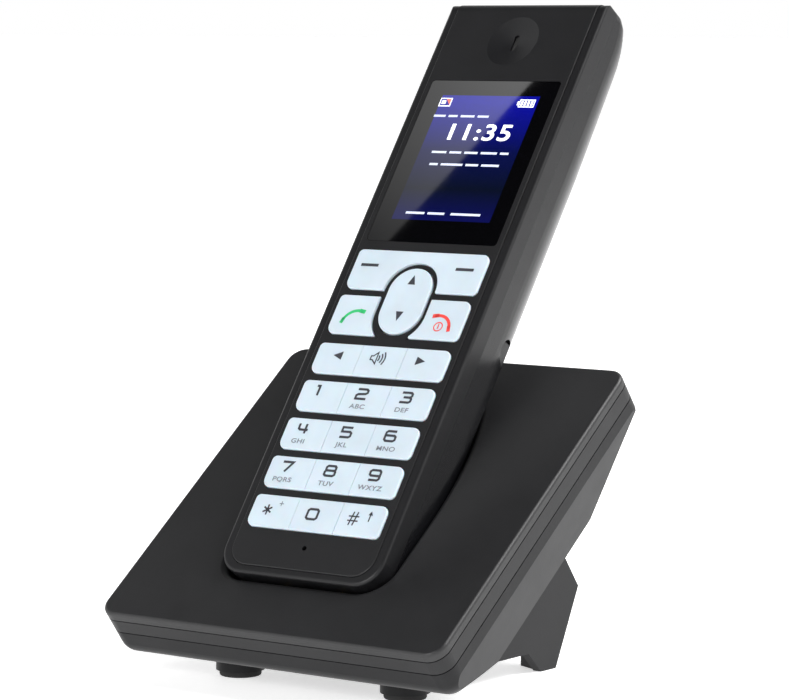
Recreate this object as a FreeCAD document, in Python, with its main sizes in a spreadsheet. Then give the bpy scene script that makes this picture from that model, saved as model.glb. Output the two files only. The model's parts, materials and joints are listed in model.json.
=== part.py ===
import FreeCAD, Part
import math
import os
import re
import Sketcher

# Cordless phone on its charging base.
# Row frame: +Z up, the keys face -Y, the origin is under the middle of the object's box.
#
# Two working frames, each turned about X and used as the Placement of its bodies:
#   handset frame  x right, y up the handset from its bottom end, z out of its face (face at z = 0)
#   base frame     x right, y up the slope from the front edge, z out of the deck (deck at z = 0)

SIZES = {
    # handset casing
    "shell_width": 45.0,
    "shell_length": 156.7,
    "front_depth": 5.1,
    "shell_depth": 20.5,
    "bottom_corner": 6.5,
    "top_corner": 1.2,
    "rim_round": 0.8,
    "brow_round": 3.0,
    "back_round": 11.0,
    "crown_reach": 40.0,
    "crown_drop": 12.0,
    "heel_round": 6.0,
    "shell_wall": 1.8,
    "floor_thick": 1.2,
    "fit_gap": 0.1,
    # face plate
    "plate_width": 40.2,
    "plate_margin": 2.0,
    "plate_thick": 1.6,
    "plate_step": 0.25,
    "plate_corner": 5.2,
    # number rows
    "row_width": 37.4,
    "row_start": 11.5,
    "row_pitch": 10.03,
    "key_height": 8.15,
    "key_split": 0.1,
    "key_proud": 0.45,
    "key_gap": 0.15,
    "key_travel": 0.4,
    "key_edge": 0.35,
    "key_soft_corner": 2.2,
    "key_tight_corner": 1.2,
    # call keys, soft-key bar and rocker
    "call_start": 62.3,
    "call_height": 10.5,
    "call_inner": 5.0,
    "soft_start": 74.5,
    "soft_height": 10.8,
    "moat_middle": 71.5,
    "moat_width": 14.5,
    "moat_length": 21.0,
    "moat_drop": 0.1,
    "nav_middle": 72.0,
    "nav_width": 11.9,
    "nav_length": 17.6,
    "nav_gap": 0.3,
    # display
    "window_start": 88.0,
    "window_width": 37.0,
    "window_height": 45.3,
    "window_corner": 0.8,
    "panel_width": 34.0,
    "panel_height": 42.6,
    "panel_thick": 1.5,
    "lens_thick": 1.55,
    # earpiece and microphone
    "ear_height": 144.8,
    "ear_radius": 6.95,
    "ear_dish": 1.3,
    "ear_slot_width": 1.4,
    "ear_slot_length": 4.6,
    "capsule_radius": 6.5,
    "capsule_depth": 3.2,
    "mic_height": 7.5,
    "mic_hole": 0.6,
    # inside the handset
    "mat_thick": 0.8,
    "board_thick": 1.0,
    "board_drop": 3.35,
    "board_top": 134.0,
    "tongue_top": 12.5,
    "dome_radius": 2.0,
    "dome_thick": 0.3,
    "door_start": 76.2,
    "door_length": 63.6,
    "door_width": 34.4,
    "door_back": 18.2,
    "door_gap": 0.15,
    "battery_width": 32.8,
    "battery_length": 60.0,
    "battery_thick": 5.6,
    "tray_thick": 1.4,
    "speaker_height": 52.0,
    "speaker_radius": 10.0,
    "speaker_depth": 4.2,
    "screw_spread": 31.0,
    "screw_low": 8.5,
    "screw_high": 144.5,
    "screw_seat": 5.4,
    "screw_shank": 2.2,
    "screw_head": 4.4,
    "boss_radius": 3.0,
    "contact_spread": 16.0,
    "contact_drop": 9.0,
    "contact_size": 4.0,
    "contact_thick": 0.6,
    "clip_height": 68.0,
    "clip_drop": 14.0,
    "clip_radius": 3.2,
    "clip_inset": 1.8,
    # base casing
    "base_width": 95.6,
    "deck_behind": 4.6,
    "base_length": "=seat_forward + (shell_depth + seat_gap) / sin(handset_lean - base_tilt)"
                   " + deck_behind",
    "base_corner": 4.2,
    "deck_thick": 2.2,
    "deck_round": 0.9,
    "seam": 0.25,
    "trim_bottom": 6.0,
    "trim_wall": 2.4,
    "band_bottom": 9.0,
    "chin_bottom": 13.3,
    "tray_bottom": 20.4,
    "flat_start": 17.8,
    "flat_end": 63.0,
    "side_inset": 3.2,
    "tray_wall": 2.0,
    "tray_floor": 1.6,
    "chin_round": 5.0,
    # cradle
    "seat_forward": 15.4,
    "seat_proud": 1.95,
    "seat_gap": 0.5,
    "end_gap": 0.9,
    "seat_wall": 1.2,
    "heel_cut": 4.0,
    "mouth_round": 1.6,
    "rest_spread": 31.0,
    # charging contacts in the base
    "pin_radius": 1.0,
    "pin_flange": 1.7,
    "pin_fit": 0.05,
    "block_width": 26.0,
    "block_length": 8.0,
    "block_height": 5.0,
    # power inlet and charger board
    "jack_side": -34.0,
    "jack_along": 44.0,
    "jack_size": 9.0,
    "jack_length": 10.6,
    "jack_bore": 2.85,
    "jack_pin": 1.0,
    "charger_width": 14.0,
    "charger_start": 27.0,
    "charger_length": 25.0,
    "charger_thick": 1.6,
    # screws of the base
    "base_screw_spread": 76.0,
    "base_screw_low": 22.0,
    "base_screw_high": 57.0,
    "base_boss": 3.6,
    "stand_screw_spread": 40.0,
    "stand_screw_along": 48.0,
    # feet and desk stand
    "foot_spread": 46.8,
    "foot_back": 21.5,
    "foot_radius": 4.8,
    "foot_thick": 2.2,
    "foot_sunk": 0.8,
    "post_radius": 5.6,
    "post_top": 11.5,
    "stand_width": 58.6,
    "stand_wall": 2.2,
    "stand_clear": 4.8,
    "stand_front": 35.4,
    "stand_step": 60.5,
    "stand_toe": 65.6,
    "stand_heel": 71.5,
    "stand_knee": 80.6,
    "stand_knee_height": 18.0,
    "stand_foot_width": 8.2,
    # how the two frames stand
    "base_tilt": 37.2,
    "handset_lean": 54.4,
    "front_edge_y": -56.84,
    "front_edge_height": 14.9,
}

doc = FreeCAD.newDocument("cordless_phone")
sheet = doc.addObject("Spreadsheet::Sheet", "Dims")
for row, (alias, size) in enumerate(SIZES.items(), start=1):
    sheet.set(f"A{row}", alias)
    sheet.set(f"B{row}", str(size))
    sheet.setAlias(f"B{row}", alias)
doc.recompute()

WORDS = re.compile(r"\b(" + "|".join(SIZES) + r")\b")


def bound(text):
    """The expression that binds a property to the sheet, from a text of size names."""
    return WORDS.sub(r"Dims.\1", text)


def number(text):
    """The value of a text of size names, in millimetres or degrees."""
    return float(sheet.evalExpression(bound(text)))


# ---- text for places that many parts share ----------------------------------------------------

TURN = "(handset_lean - base_tilt)"
HANDSET = {
    "Base.y": "front_edge_y + seat_forward * cos(base_tilt) - seat_proud * sin(base_tilt)",
    "Base.z": "front_edge_height + seat_forward * sin(base_tilt) + seat_proud * cos(base_tilt)",
    "Rotation.Angle": "handset_lean",
}
BASE = {
    "Base.y": "front_edge_y",
    "Base.z": "front_edge_height",
    "Rotation.Angle": "base_tilt",
}
GROUND = {"Base.y": "front_edge_y"}

FLOOR_TOP = "(-plate_thick - fit_gap / 2)"
FLOOR_BOTTOM = "(-plate_thick - fit_gap / 2 - floor_thick)"
KEY_BOTTOM = "(-plate_thick)"
MAT_TOP = "(-plate_thick - key_travel - 0.05)"
BOARD_FRONT = "(-board_drop)"
BOARD_BACK = "(-board_drop - board_thick)"
BACK_INNER = "(-shell_depth + shell_wall)"
CAVITY_HALF = "(shell_width / 2 - shell_wall)"
WELL_FLOOR = "(-door_back + 0.2 + battery_thick + 0.1)"
BASE_SCREWS = [(f"{side} * base_screw_spread / 2", along)
               for side in (-1, 1) for along in ("base_screw_low", "base_screw_high")]
STAND_SCREWS = [(f"{side} * stand_screw_spread / 2", "stand_screw_along") for side in (-1, 1)]


# ---- building blocks --------------------------------------------------------------------------


def new_body(name, placing):
    """A sub-part, standing in the handset frame, the base frame or on the ground."""
    body = doc.addObject("PartDesign::Body", name)
    body.Label = name
    body.Placement = FreeCAD.Placement(FreeCAD.Vector(), FreeCAD.Rotation(FreeCAD.Vector(1, 0, 0), 1))
    if "Rotation.Angle" not in placing:
        body.Placement = FreeCAD.Placement()
    for path, text in placing.items():
        body.setExpression("Placement." + path, bound(text))
    return body


def new_sketch(body, plane, level="0", frame=None):
    """A sketch parallel to one of the body's own planes, or to the seated handset's face."""
    sketch = body.newObject("Sketcher::SketchObject", body.Name + "_sketch")
    origin = [part for part in body.Origin.OriginFeatures if part.Role == plane]
    sketch.AttachmentSupport = (origin[0], "")
    sketch.MapMode = "FlatFace"
    if frame == "seat":
        sketch.AttachmentOffset = FreeCAD.Placement(
            FreeCAD.Vector(), FreeCAD.Rotation(FreeCAD.Vector(1, 0, 0), 1))
        sketch.setExpression("AttachmentOffset.Rotation.Angle", bound(TURN))
        sketch.setExpression("AttachmentOffset.Base.y",
                             bound(f"seat_forward - ({level}) * sin({TURN})"))
        sketch.setExpression("AttachmentOffset.Base.z",
                             bound(f"seat_proud + ({level}) * cos({TURN})"))
    elif frame == "ground":
        sketch.AttachmentOffset = FreeCAD.Placement(
            FreeCAD.Vector(), FreeCAD.Rotation(FreeCAD.Vector(1, 0, 0), -1))
        sketch.setExpression("AttachmentOffset.Rotation.Angle", bound("-base_tilt"))
        sketch.setExpression("AttachmentOffset.Base.y",
                             bound(f"(({level}) - front_edge_height) * sin(base_tilt)"))
        sketch.setExpression("AttachmentOffset.Base.z",
                             bound(f"(({level}) - front_edge_height) * cos(base_tilt)"))
    else:
        sketch.setExpression("AttachmentOffset.Base.z", bound(level))
    return sketch


def hold(sketch, kind, edge, point, text):
    """Hold one point of the sketch at a size from the origin, bound to the sheet."""
    index = sketch.addConstraint(Sketcher.Constraint(kind, -1, 1, edge, point, number(text)))
    sketch.setExpression(f"Constraints[{index}]", bound(text))


def draw_outline(sketch, corners):
    """A closed straight-sided outline through the corners, each an (x, y) pair of texts."""
    points = [FreeCAD.Vector(number(x), number(y), 0) for x, y in corners]
    count = len(points)
    first = sketch.GeometryCount
    for index, start in enumerate(points):
        sketch.addGeometry(Part.LineSegment(start, points[(index + 1) % count]), False)
    for index in range(count):
        after = first + (index + 1) % count
        sketch.addConstraint(Sketcher.Constraint("Coincident", first + index, 2, after, 1))
    for index, (x, y) in enumerate(corners):
        hold(sketch, "DistanceX", first + index, 1, x)
        hold(sketch, "DistanceY", first + index, 1, y)


def draw_circle(sketch, x, y, radius):
    """A circle with its centre and radius bound to the sheet."""
    centre = FreeCAD.Vector(number(x), number(y), 0)
    edge = sketch.addGeometry(Part.Circle(centre, FreeCAD.Vector(0, 0, 1), number(radius)), False)
    hold(sketch, "DistanceX", edge, 3, x)
    hold(sketch, "DistanceY", edge, 3, y)
    index = sketch.addConstraint(Sketcher.Constraint("Radius", edge, number(radius)))
    sketch.setExpression(f"Constraints[{index}]", bound(radius))


def draw_corner_waste(sketch, x, y, radius, side, up):
    """What a round of this radius takes off a corner at (x, y): two lines and an arc."""
    corner = FreeCAD.Vector(number(x), number(y), 0)
    reach = number(radius)
    past = 1.0
    centre = corner + FreeCAD.Vector(-side * reach, -up * reach, 0)
    along_x = corner + FreeCAD.Vector(-side * reach, 0, 0)
    along_y = corner + FreeCAD.Vector(0, -up * reach, 0)
    out_x = along_x + FreeCAD.Vector(0, up * past, 0)
    out = corner + FreeCAD.Vector(side * past, up * past, 0)
    out_y = along_y + FreeCAD.Vector(side * past, 0, 0)
    middle = centre + FreeCAD.Vector(side, up, 0) * (reach / math.sqrt(2))
    chain = [Part.LineSegment(along_x, out_x), Part.LineSegment(out_x, out),
             Part.LineSegment(out, out_y), Part.LineSegment(out_y, along_y)]
    for line in chain:
        sketch.addGeometry(line, False)
    sketch.addGeometry(Part.Arc(along_y, middle, along_x), False)
    for edge in range(3):
        sketch.addConstraint(Sketcher.Constraint("Coincident", edge, 2, edge + 1, 1))
    arc_ends = {}
    for point in (1, 2):
        place = sketch.getPoint(4, point)
        arc_ends[point] = place.distanceToPoint(along_y) < 1e-6
    low_end = 1 if arc_ends[1] else 2
    sketch.addConstraint(Sketcher.Constraint("Coincident", 3, 2, 4, low_end))
    sketch.addConstraint(Sketcher.Constraint("Coincident", 0, 1, 4, 3 - low_end))
    hold(sketch, "DistanceX", 0, 1, f"{x} - ({side}) * ({radius})")
    hold(sketch, "DistanceY", 0, 1, y)
    hold(sketch, "DistanceX", 3, 2, x)
    hold(sketch, "DistanceY", 3, 2, f"{y} - ({up}) * ({radius})")
    hold(sketch, "DistanceX", 0, 2, f"{x} - ({side}) * ({radius})")
    hold(sketch, "DistanceY", 0, 2, f"{y} + ({up}) * {past}")
    hold(sketch, "DistanceX", 1, 2, f"{x} + ({side}) * {past}")
    hold(sketch, "DistanceY", 1, 2, f"{y} + ({up}) * {past}")
    hold(sketch, "DistanceX", 2, 2, f"{x} + ({side}) * {past}")
    hold(sketch, "DistanceY", 2, 2, f"{y} - ({up}) * ({radius})")
    hold(sketch, "DistanceX", 4, 3, f"{x} - ({side}) * ({radius})")


def draw_rounded(sketch, left, right, low, high, radii):
    """A rectangle with a radius at each corner, anticlockwise from the lower left; "0" is sharp."""
    corners = [(left, low, 1, 1), (right, low, -1, 1), (right, high, -1, -1), (left, high, 1, -1)]
    stops = []
    for (x, y, inward, upward), radius in zip(corners, radii):
        beside = (x, f"{y} + ({upward}) * ({radius})")
        along = (f"{x} + ({inward}) * ({radius})", y)
        stops.append((beside, along) if inward * upward > 0 else (along, beside))
    places = [[FreeCAD.Vector(number(x), number(y), 0) for x, y in pair] for pair in stops]
    first = sketch.GeometryCount
    for index in range(4):
        start, end = places[index][1], places[(index + 1) % 4][0]
        sketch.addGeometry(Part.LineSegment(start, end), False)
    for index, ((x, y, inward, upward), radius) in enumerate(zip(corners, radii)):
        before = first + (index + 3) % 4
        if radius == "0":
            sketch.addConstraint(Sketcher.Constraint("Coincident", before, 2, first + index, 1))
            continue
        reach = number(radius)
        start, end = places[index]
        centre = FreeCAD.Vector(number(x) + inward * reach, number(y) + upward * reach, 0)
        middle = centre - FreeCAD.Vector(inward, upward, 0) * (reach / math.sqrt(2))
        arc = sketch.addGeometry(Part.Arc(start, middle, end), False)
        start_point = 1 if sketch.getPoint(arc, 1).distanceToPoint(start) < 1e-6 else 2
        sketch.addConstraint(Sketcher.Constraint("Coincident", before, 2, arc, start_point))
        sketch.addConstraint(Sketcher.Constraint("Coincident", first + index, 1, arc, 3 - start_point))
        hold(sketch, "DistanceX", arc, 3, f"{x} + ({inward}) * ({radius})")
    for index in range(4):
        after = (index + 1) % 4
        ends = [(1, stops[index][1])]
        if radii[after] != "0":
            ends.append((2, stops[after][0]))
        for point, (x, y) in ends:
            hold(sketch, "DistanceX", first + index, point, x)
            hold(sketch, "DistanceY", first + index, point, y)


def extrude(body, kind, sketch, length, both_ways=False):
    """Add or cut a prism on a sketch; a cut goes down from it, an addition goes up."""
    feature = body.newObject("PartDesign::" + kind, body.Name + "_" + kind.lower())
    feature.Profile = sketch
    feature.setExpression("Length", bound(length))
    if both_ways:
        feature.SideType = "Symmetric"
    body.Tip = feature
    doc.recompute()
    return feature


def rectangle(left, right, low, high):
    return [(left, low), (right, low), (right, high), (left, high)]


def add_block(body, left, right, low, high, bottom, top, frame=None):
    sketch = new_sketch(body, "XY_Plane", bottom, frame)
    draw_outline(sketch, rectangle(left, right, low, high))
    return extrude(body, "Pad", sketch, f"({top}) - ({bottom})")


def cut_block(body, left, right, low, high, bottom, top, frame=None):
    sketch = new_sketch(body, "XY_Plane", top, frame)
    draw_outline(sketch, rectangle(left, right, low, high))
    return extrude(body, "Pocket", sketch, f"({top}) - ({bottom})")


def add_disc(body, places, radius, bottom, top, frame=None):
    sketch = new_sketch(body, "XY_Plane", bottom, frame)
    for x, y in places:
        draw_circle(sketch, x, y, radius)
    return extrude(body, "Pad", sketch, f"({top}) - ({bottom})")


def cut_disc(body, places, radius, bottom, top, frame=None):
    sketch = new_sketch(body, "XY_Plane", top, frame)
    for x, y in places:
        draw_circle(sketch, x, y, radius)
    return extrude(body, "Pocket", sketch, f"({top}) - ({bottom})")


def add_rounded(body, left, right, low, high, radii, bottom, top):
    sketch = new_sketch(body, "XY_Plane", bottom)
    draw_rounded(sketch, left, right, low, high, radii)
    return extrude(body, "Pad", sketch, f"({top}) - ({bottom})")


def cut_rounded(body, left, right, low, high, radii, bottom, top):
    sketch = new_sketch(body, "XY_Plane", top)
    draw_rounded(sketch, left, right, low, high, radii)
    return extrude(body, "Pocket", sketch, f"({top}) - ({bottom})")


def long_form(body, kind, half, bottom, top, radius, low, high, frame=None):
    """Add or cut a form of one section along the handset, round at its two rear corners."""
    start = high if kind == "Pad" else low
    sketch = new_sketch(body, "XZ_Plane", f"-({start})")
    if frame == "seat":
        sketch.setExpression("AttachmentOffset.Base.z", None)
        sketch.AttachmentOffset = FreeCAD.Placement(
            FreeCAD.Vector(), FreeCAD.Rotation(FreeCAD.Vector(1, 0, 0), 1))
        y, z = seat_point(start, "0")
        sketch.setExpression("AttachmentOffset.Rotation.Angle", bound(TURN))
        sketch.setExpression("AttachmentOffset.Base.y", bound(z))
        sketch.setExpression("AttachmentOffset.Base.z", bound(f"-({y})"))
    draw_rounded(sketch, f"-({half})", half, bottom, top, (radius, radius, "0.2", "0.2"))
    return extrude(body, kind, sketch, f"({high}) - ({low})")


def profile(body, kind, corners, width):
    """Add or cut a side profile, drawn along and above the body's Y and Z, across its middle."""
    sketch = new_sketch(body, "YZ_Plane")
    draw_outline(sketch, corners)
    return extrude(body, kind, sketch, width, both_ways=True)


def at(*texts):
    return [number(text) for text in texts]


def edges_on(shape, **wanted):
    """Names of the edges that lie, end to end, at one of the wanted values of each axis."""
    names = []
    for index, edge in enumerate(shape.Edges, start=1):
        places = [edge.valueAt(edge.FirstParameter + share * (edge.LastParameter - edge.FirstParameter))
                  for share in (0.0, 0.5, 1.0)]
        fits = all(
            any(all(abs(getattr(place, axis) - value) < 0.01 for place in places) for value in values)
            for axis, values in wanted.items())
        if fits:
            names.append(f"Edge{index}")
    return names


def soften(body, radius, names):
    """Round the named edges of the body's last feature."""
    if not names:
        raise ValueError(body.Name + ": no edge to round")
    base = body.Tip
    feature = body.newObject("PartDesign::Fillet", body.Name + "_fillet")
    feature.Base = (base, names)
    body.Tip = feature
    feature.setExpression("Radius", bound(radius))
    doc.recompute()
    return feature


def seat_point(along, drop):
    """Base-frame texts of a point so far up the handset and so far behind its face."""
    y = f"seat_forward + ({along}) * cos({TURN}) + ({drop}) * sin({TURN})"
    z = f"seat_proud + ({along}) * sin({TURN}) - ({drop}) * cos({TURN})"
    return y, z


# ---- handset casing ---------------------------------------------------------------------------

SCREW_PLACES = [(side + "screw_spread / 2", height)
                for side in ("-", "") for height in ("screw_low", "screw_high")]


def key_row_low(row):
    """Lower edge of a key row, counted up from the star, zero and hash row."""
    return f"(row_start + {row} * row_pitch)"


def stadium(width, length, middle):
    """Texts of a long outline with round ends on the middle line."""
    half = f"(({width}) / 2)"
    return (f"-{half}", half, f"({middle} - ({length}) / 2)", f"({middle} + ({length}) / 2)",
            (f"({half} - 0.05)",) * 4)


def front_form(body):
    """Outer form of the handset's front half, with a fine round along its sides and bottom."""
    add_block(body, "-shell_width / 2", "shell_width / 2", "0", "shell_length", "-front_depth",
              "-plate_step")
    sides = at("-shell_width / 2", "shell_width / 2")
    soften(body, "bottom_corner", edges_on(body.Tip.Shape, x=sides, y=[0]))
    soften(body, "rim_round", edges_on(body.Tip.Shape, x=sides, z=at("-plate_step")))
    sketch = new_sketch(body, "YZ_Plane")
    draw_corner_waste(sketch, "shell_length", "(-plate_step)", "brow_round", 1, 1)
    extrude(body, "Pocket", sketch, "shell_width + 2", both_ways=True)
    cut_corners(body, "shell_length", "top_corner", 1)


def cut_corners(body, end, radius, up):
    """Round both corners of one end of the handset, as seen from its front."""
    for side in (-1, 1):
        sketch = new_sketch(body, "XY_Plane", "1")
        draw_corner_waste(sketch, f"{side} * shell_width / 2", end, radius, side, up)
        extrude(body, "Pocket", sketch, "shell_depth + 2")


def rear_form(body):
    """Outer form of the handset's rear half: round along its sides and heel, domed at its crown."""
    add_block(body, "-shell_width / 2", "shell_width / 2", "0", "(shell_length - crown_reach)",
              "-shell_depth", "-front_depth")
    sides = at("-shell_width / 2", "shell_width / 2")
    soften(body, "back_round", edges_on(body.Tip.Shape, x=sides, z=at("-shell_depth")))
    sketch = new_sketch(body, "YZ_Plane")
    draw_corner_waste(sketch, "0", "(-shell_depth)", "heel_round", -1, -1)
    extrude(body, "Pocket", sketch, "shell_width + 2", both_ways=True)
    cut_corners(body, "0", "bottom_corner", -1)
    add_crown(body)


def crown_sections():
    """Shares that shape the crown, from where it starts to the handset's top end.

    They are: of the reach still above the section, of the drop, of the rear round that is left,
    and of the top corner taken off.
    """
    sections = [(1.0, 0.0, 1.0, 0.0), (0.3, 0.11, 0.93, 0.0)]
    for angle, off in ((15, 0.0), (30, 0.0), (45, 0.0), (60, 0.0), (75, 0.25), (90, 1.0)):
        turned = 1 - math.cos(math.radians(angle))
        above = 0.3 * (1 - math.sin(math.radians(angle)))
        sections.append((round(above, 4), round(0.11 + 0.89 * turned, 4),
                         round(0.93 - 0.66 * turned, 4), off))
    return sections


def add_crown(body):
    """The handset's rear grows shallower towards its top end."""
    sections = []
    for above, drop, turn, off in crown_sections():
        sketch = new_sketch(body, "XZ_Plane", f"-(shell_length - {above} * crown_reach)")
        half = f"(shell_width / 2 - {off} * top_corner)"
        radius = f"({turn} * back_round)"
        draw_rounded(sketch, f"-{half}", half, f"({drop} * crown_drop - shell_depth)",
                     "(-front_depth)", (radius, radius, "0", "0"))
        sections.append(sketch)
    crown = body.newObject("PartDesign::AdditiveLoft", body.Name + "_crown")
    crown.Profile = sections[0]
    crown.Sections = sections[1:]
    crown.Ruled = True
    body.Tip = crown
    doc.recompute()


def make_front_shell():
    body = new_body("front_shell", HANDSET)
    front_form(body)
    # seat of the face plate, over the brow too
    half = "(plate_width / 2 + fit_gap)"
    low = "(plate_margin - fit_gap)"
    corner = "(plate_corner + fit_gap)"
    cut_rounded(body, "-" + half, half, low, "shell_length + 1", (corner, corner, "0.2", "0.2"),
                FLOOR_TOP, "1")
    cut_block(body, "-" + half, half, "shell_length - plate_thick - fit_gap / 2",
              "shell_length + 1", "-front_depth - 1", "0")
    # hollow behind the floor
    corner = "(bottom_corner - shell_wall)"
    cut_rounded(body, "-" + CAVITY_HALF, CAVITY_HALF, "shell_wall",
                "(shell_length - 2 * shell_wall)", (corner, corner, "1", "1"),
                "-front_depth - 1", FLOOR_BOTTOM)
    # openings in the floor: keypad, display, earpiece, microphone
    mat_half = "(row_width / 2)"
    cut_block(body, "-" + mat_half, mat_half, "row_start - 0.5", "soft_start + soft_height",
              "-front_depth", "0")
    cut_block(body, "-panel_width / 2 - fit_gap", "panel_width / 2 + fit_gap",
              "window_start + (window_height - panel_height) / 2 - fit_gap",
              "window_start + (window_height + panel_height) / 2 + fit_gap", "-front_depth", "0")
    cut_disc(body, [("0", "ear_height")], "capsule_radius - 1.5", "-front_depth", "0")
    cut_disc(body, [("0", "mic_height")], "2.1", "-front_depth", "0")
    # screw bosses with their pilot holes
    add_disc(body, SCREW_PLACES, "boss_radius", "-front_depth + 0.05", FLOOR_BOTTOM)
    cut_disc(body, SCREW_PLACES, "screw_shank / 2 + 0.05", "-front_depth - 1", FLOOR_TOP + " - 0.4")
    return body


def make_face_plate():
    body = new_body("face_plate", HANDSET)
    half = "plate_width / 2"
    profile(body, "Pad", [
        ("plate_margin", "-plate_thick"),
        ("plate_margin", "0"),
        ("shell_length", "0"),
        ("shell_length", "-front_depth"),
        ("shell_length - plate_thick", "-front_depth"),
        ("shell_length - plate_thick", "-plate_thick"),
    ], "plate_width")
    soften(body, "plate_corner",
           edges_on(body.Tip.Shape, x=at("-" + half, half), y=at("plate_margin")))
    soften(body, "plate_step", edges_on(body.Tip.Shape, x=at("-" + half, half), z=[0]))
    sketch = new_sketch(body, "YZ_Plane")
    draw_corner_waste(sketch, "shell_length", "0", "brow_round", 1, 1)
    extrude(body, "Pocket", sketch, "plate_width + 2", both_ways=True)
    # window for the lens
    side = "(window_width / 2 + fit_gap)"
    corner = "(window_corner + fit_gap)"
    cut_rounded(body, "-" + side, side, "(window_start - fit_gap)",
                "(window_start + window_height + fit_gap)", (corner,) * 4, "-plate_thick - 1", "1")
    # holes for the key rows, the call keys and the soft-key bar
    side = "(row_width / 2 + key_gap)"
    holes = [(key_row_low(row), "key_height") for row in range(5)]
    holes += [("call_start", "call_height"), ("soft_start", "soft_height")]
    for low, height in holes:
        cut_rounded(body, "-" + side, side, f"({low} - key_gap)", f"({low} + {height} + key_gap)",
                    key_corners("key_gap"), "-plate_thick - 1", "1")
    # the ring that guides the rocker
    add_rounded(body, *stadium("moat_width", "moat_length", "moat_middle"),
                "-plate_thick", "-moat_drop")
    cut_rounded(body, *stadium("nav_width + 2 * nav_gap", "nav_length + 2 * nav_gap", "nav_middle"),
                "-plate_thick - 1", "0")
    # earpiece dish and slot, microphone hole
    sketch = new_sketch(body, "YZ_Plane")
    sketch.setExpression("AttachmentOffset.Base.x", bound("ear_height"))
    draw_outline(sketch, [("0", "-ear_dish"), ("ear_radius", "0"), ("ear_radius", "0.5"), ("0", "0.5")])
    dish = body.newObject("PartDesign::Groove", "ear_dish")
    dish.Profile = sketch
    dish.ReferenceAxis = (sketch, ["V_Axis"])
    dish.Angle = 360
    body.Tip = dish
    doc.recompute()
    cut_block(body, "-ear_slot_width / 2", "ear_slot_width / 2", "ear_height - ear_slot_length / 2",
              "ear_height + ear_slot_length / 2", "-plate_thick - 1", "0")
    slot_ends = edges_on(body.Tip.Shape, x=at("-ear_slot_width / 2", "ear_slot_width / 2"),
                         y=at("ear_height - ear_slot_length / 2", "ear_height + ear_slot_length / 2"))
    soften(body, "ear_slot_width / 2 - 0.02", slot_ends)
    cut_disc(body, [("0", "mic_height")], "mic_hole", "-plate_thick - 1", "1")
    return body


def key_corners(grow):
    """Corner radii of a whole key row: wide at the lower left and upper right, tight elsewhere."""
    wide = f"(key_soft_corner + {grow})"
    tight = f"(key_tight_corner + {grow})"
    return wide, tight, wide, tight


def make_rear_shell():
    body = new_body("rear_shell", HANDSET)
    rear_form(body)
    tray_top = f"({WELL_FLOOR} + tray_thick)"
    well_low = "(door_start - 1.5)"
    well_high = "(door_start + door_length + 1.5)"
    # hollows below and above the battery tray, and the shallower one in front of it
    inner_round = "(back_round - shell_wall)"
    long_form(body, "Pocket", "(shell_width / 2 - bottom_corner)",
              "(heel_round + shell_wall - shell_depth)", "(1 - front_depth)", "2",
              "shell_wall", "(bottom_corner + 1)")
    long_form(body, "Pocket", CAVITY_HALF, BACK_INNER, "(1 - front_depth)", inner_round,
              "bottom_corner", well_low)
    long_form(body, "Pocket", CAVITY_HALF, tray_top, "(1 - front_depth)", "2",
              "(door_start - 3)", "(door_start + door_length + 3)")
    long_form(body, "Pocket", CAVITY_HALF, "(-front_depth - 7)", "(1 - front_depth)", "4",
              well_high, "(shell_length - 7)")
    cut_disc(body, [("0", "ear_height")], "capsule_radius + 0.3",
             f"{FLOOR_BOTTOM} - capsule_depth - 0.3", "-front_depth + 1")
    # battery well and the seat of its door
    cut_block(body, "-door_width / 2 - door_gap", "door_width / 2 + door_gap",
              "door_start - door_gap", "door_start + door_length + door_gap",
              "-shell_depth - 1", "-door_back")
    cut_block(body, "-battery_width / 2 - 0.3", "battery_width / 2 + 0.3", "door_start + 1.2",
              "door_start + door_length - 1.2", "-shell_depth - 1", WELL_FLOOR)
    # window to the card reader
    cut_block(body, "-14", "14", "door_start + 8", "door_start + 26", "-shell_depth", "-front_depth")
    # posts and holes of the four screws
    add_disc(body, SCREW_PLACES, "boss_radius", "-shell_depth + screw_seat",
             "-front_depth - 0.05")
    cut_disc(body, SCREW_PLACES, "screw_shank / 2 + 0.2", "-shell_depth - 1", "-front_depth + 1")
    cut_disc(body, SCREW_PLACES, "screw_head / 2 + 0.2", "-shell_depth - 1",
             "-shell_depth + screw_seat")
    # sound slots
    for step in range(-2, 3):
        middle = f"speaker_height + {step} * 2.8"
        cut_block(body, "-6", "6", f"{middle} - 0.6", f"{middle} + 0.6", "-shell_depth - 1", BACK_INNER)
    # charging contacts, let into the bottom end
    for side in ("-", ""):
        cut_block(body, f"{side}contact_spread / 2 - contact_size / 2 - 0.05",
                  f"{side}contact_spread / 2 + contact_size / 2 + 0.05", "-1", "contact_thick",
                  "-contact_drop - contact_size / 2 - 0.05", "-contact_drop + contact_size / 2 + 0.05")
    # belt-clip notches on both flanks
    for level in ("shell_width / 2 + 0.1", "clip_inset - shell_width / 2"):
        sketch = new_sketch(body, "YZ_Plane", level)
        draw_circle(sketch, "clip_height", "-clip_drop", "clip_radius")
        extrude(body, "Pocket", sketch, "clip_inset + 0.1")
    return body


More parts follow.
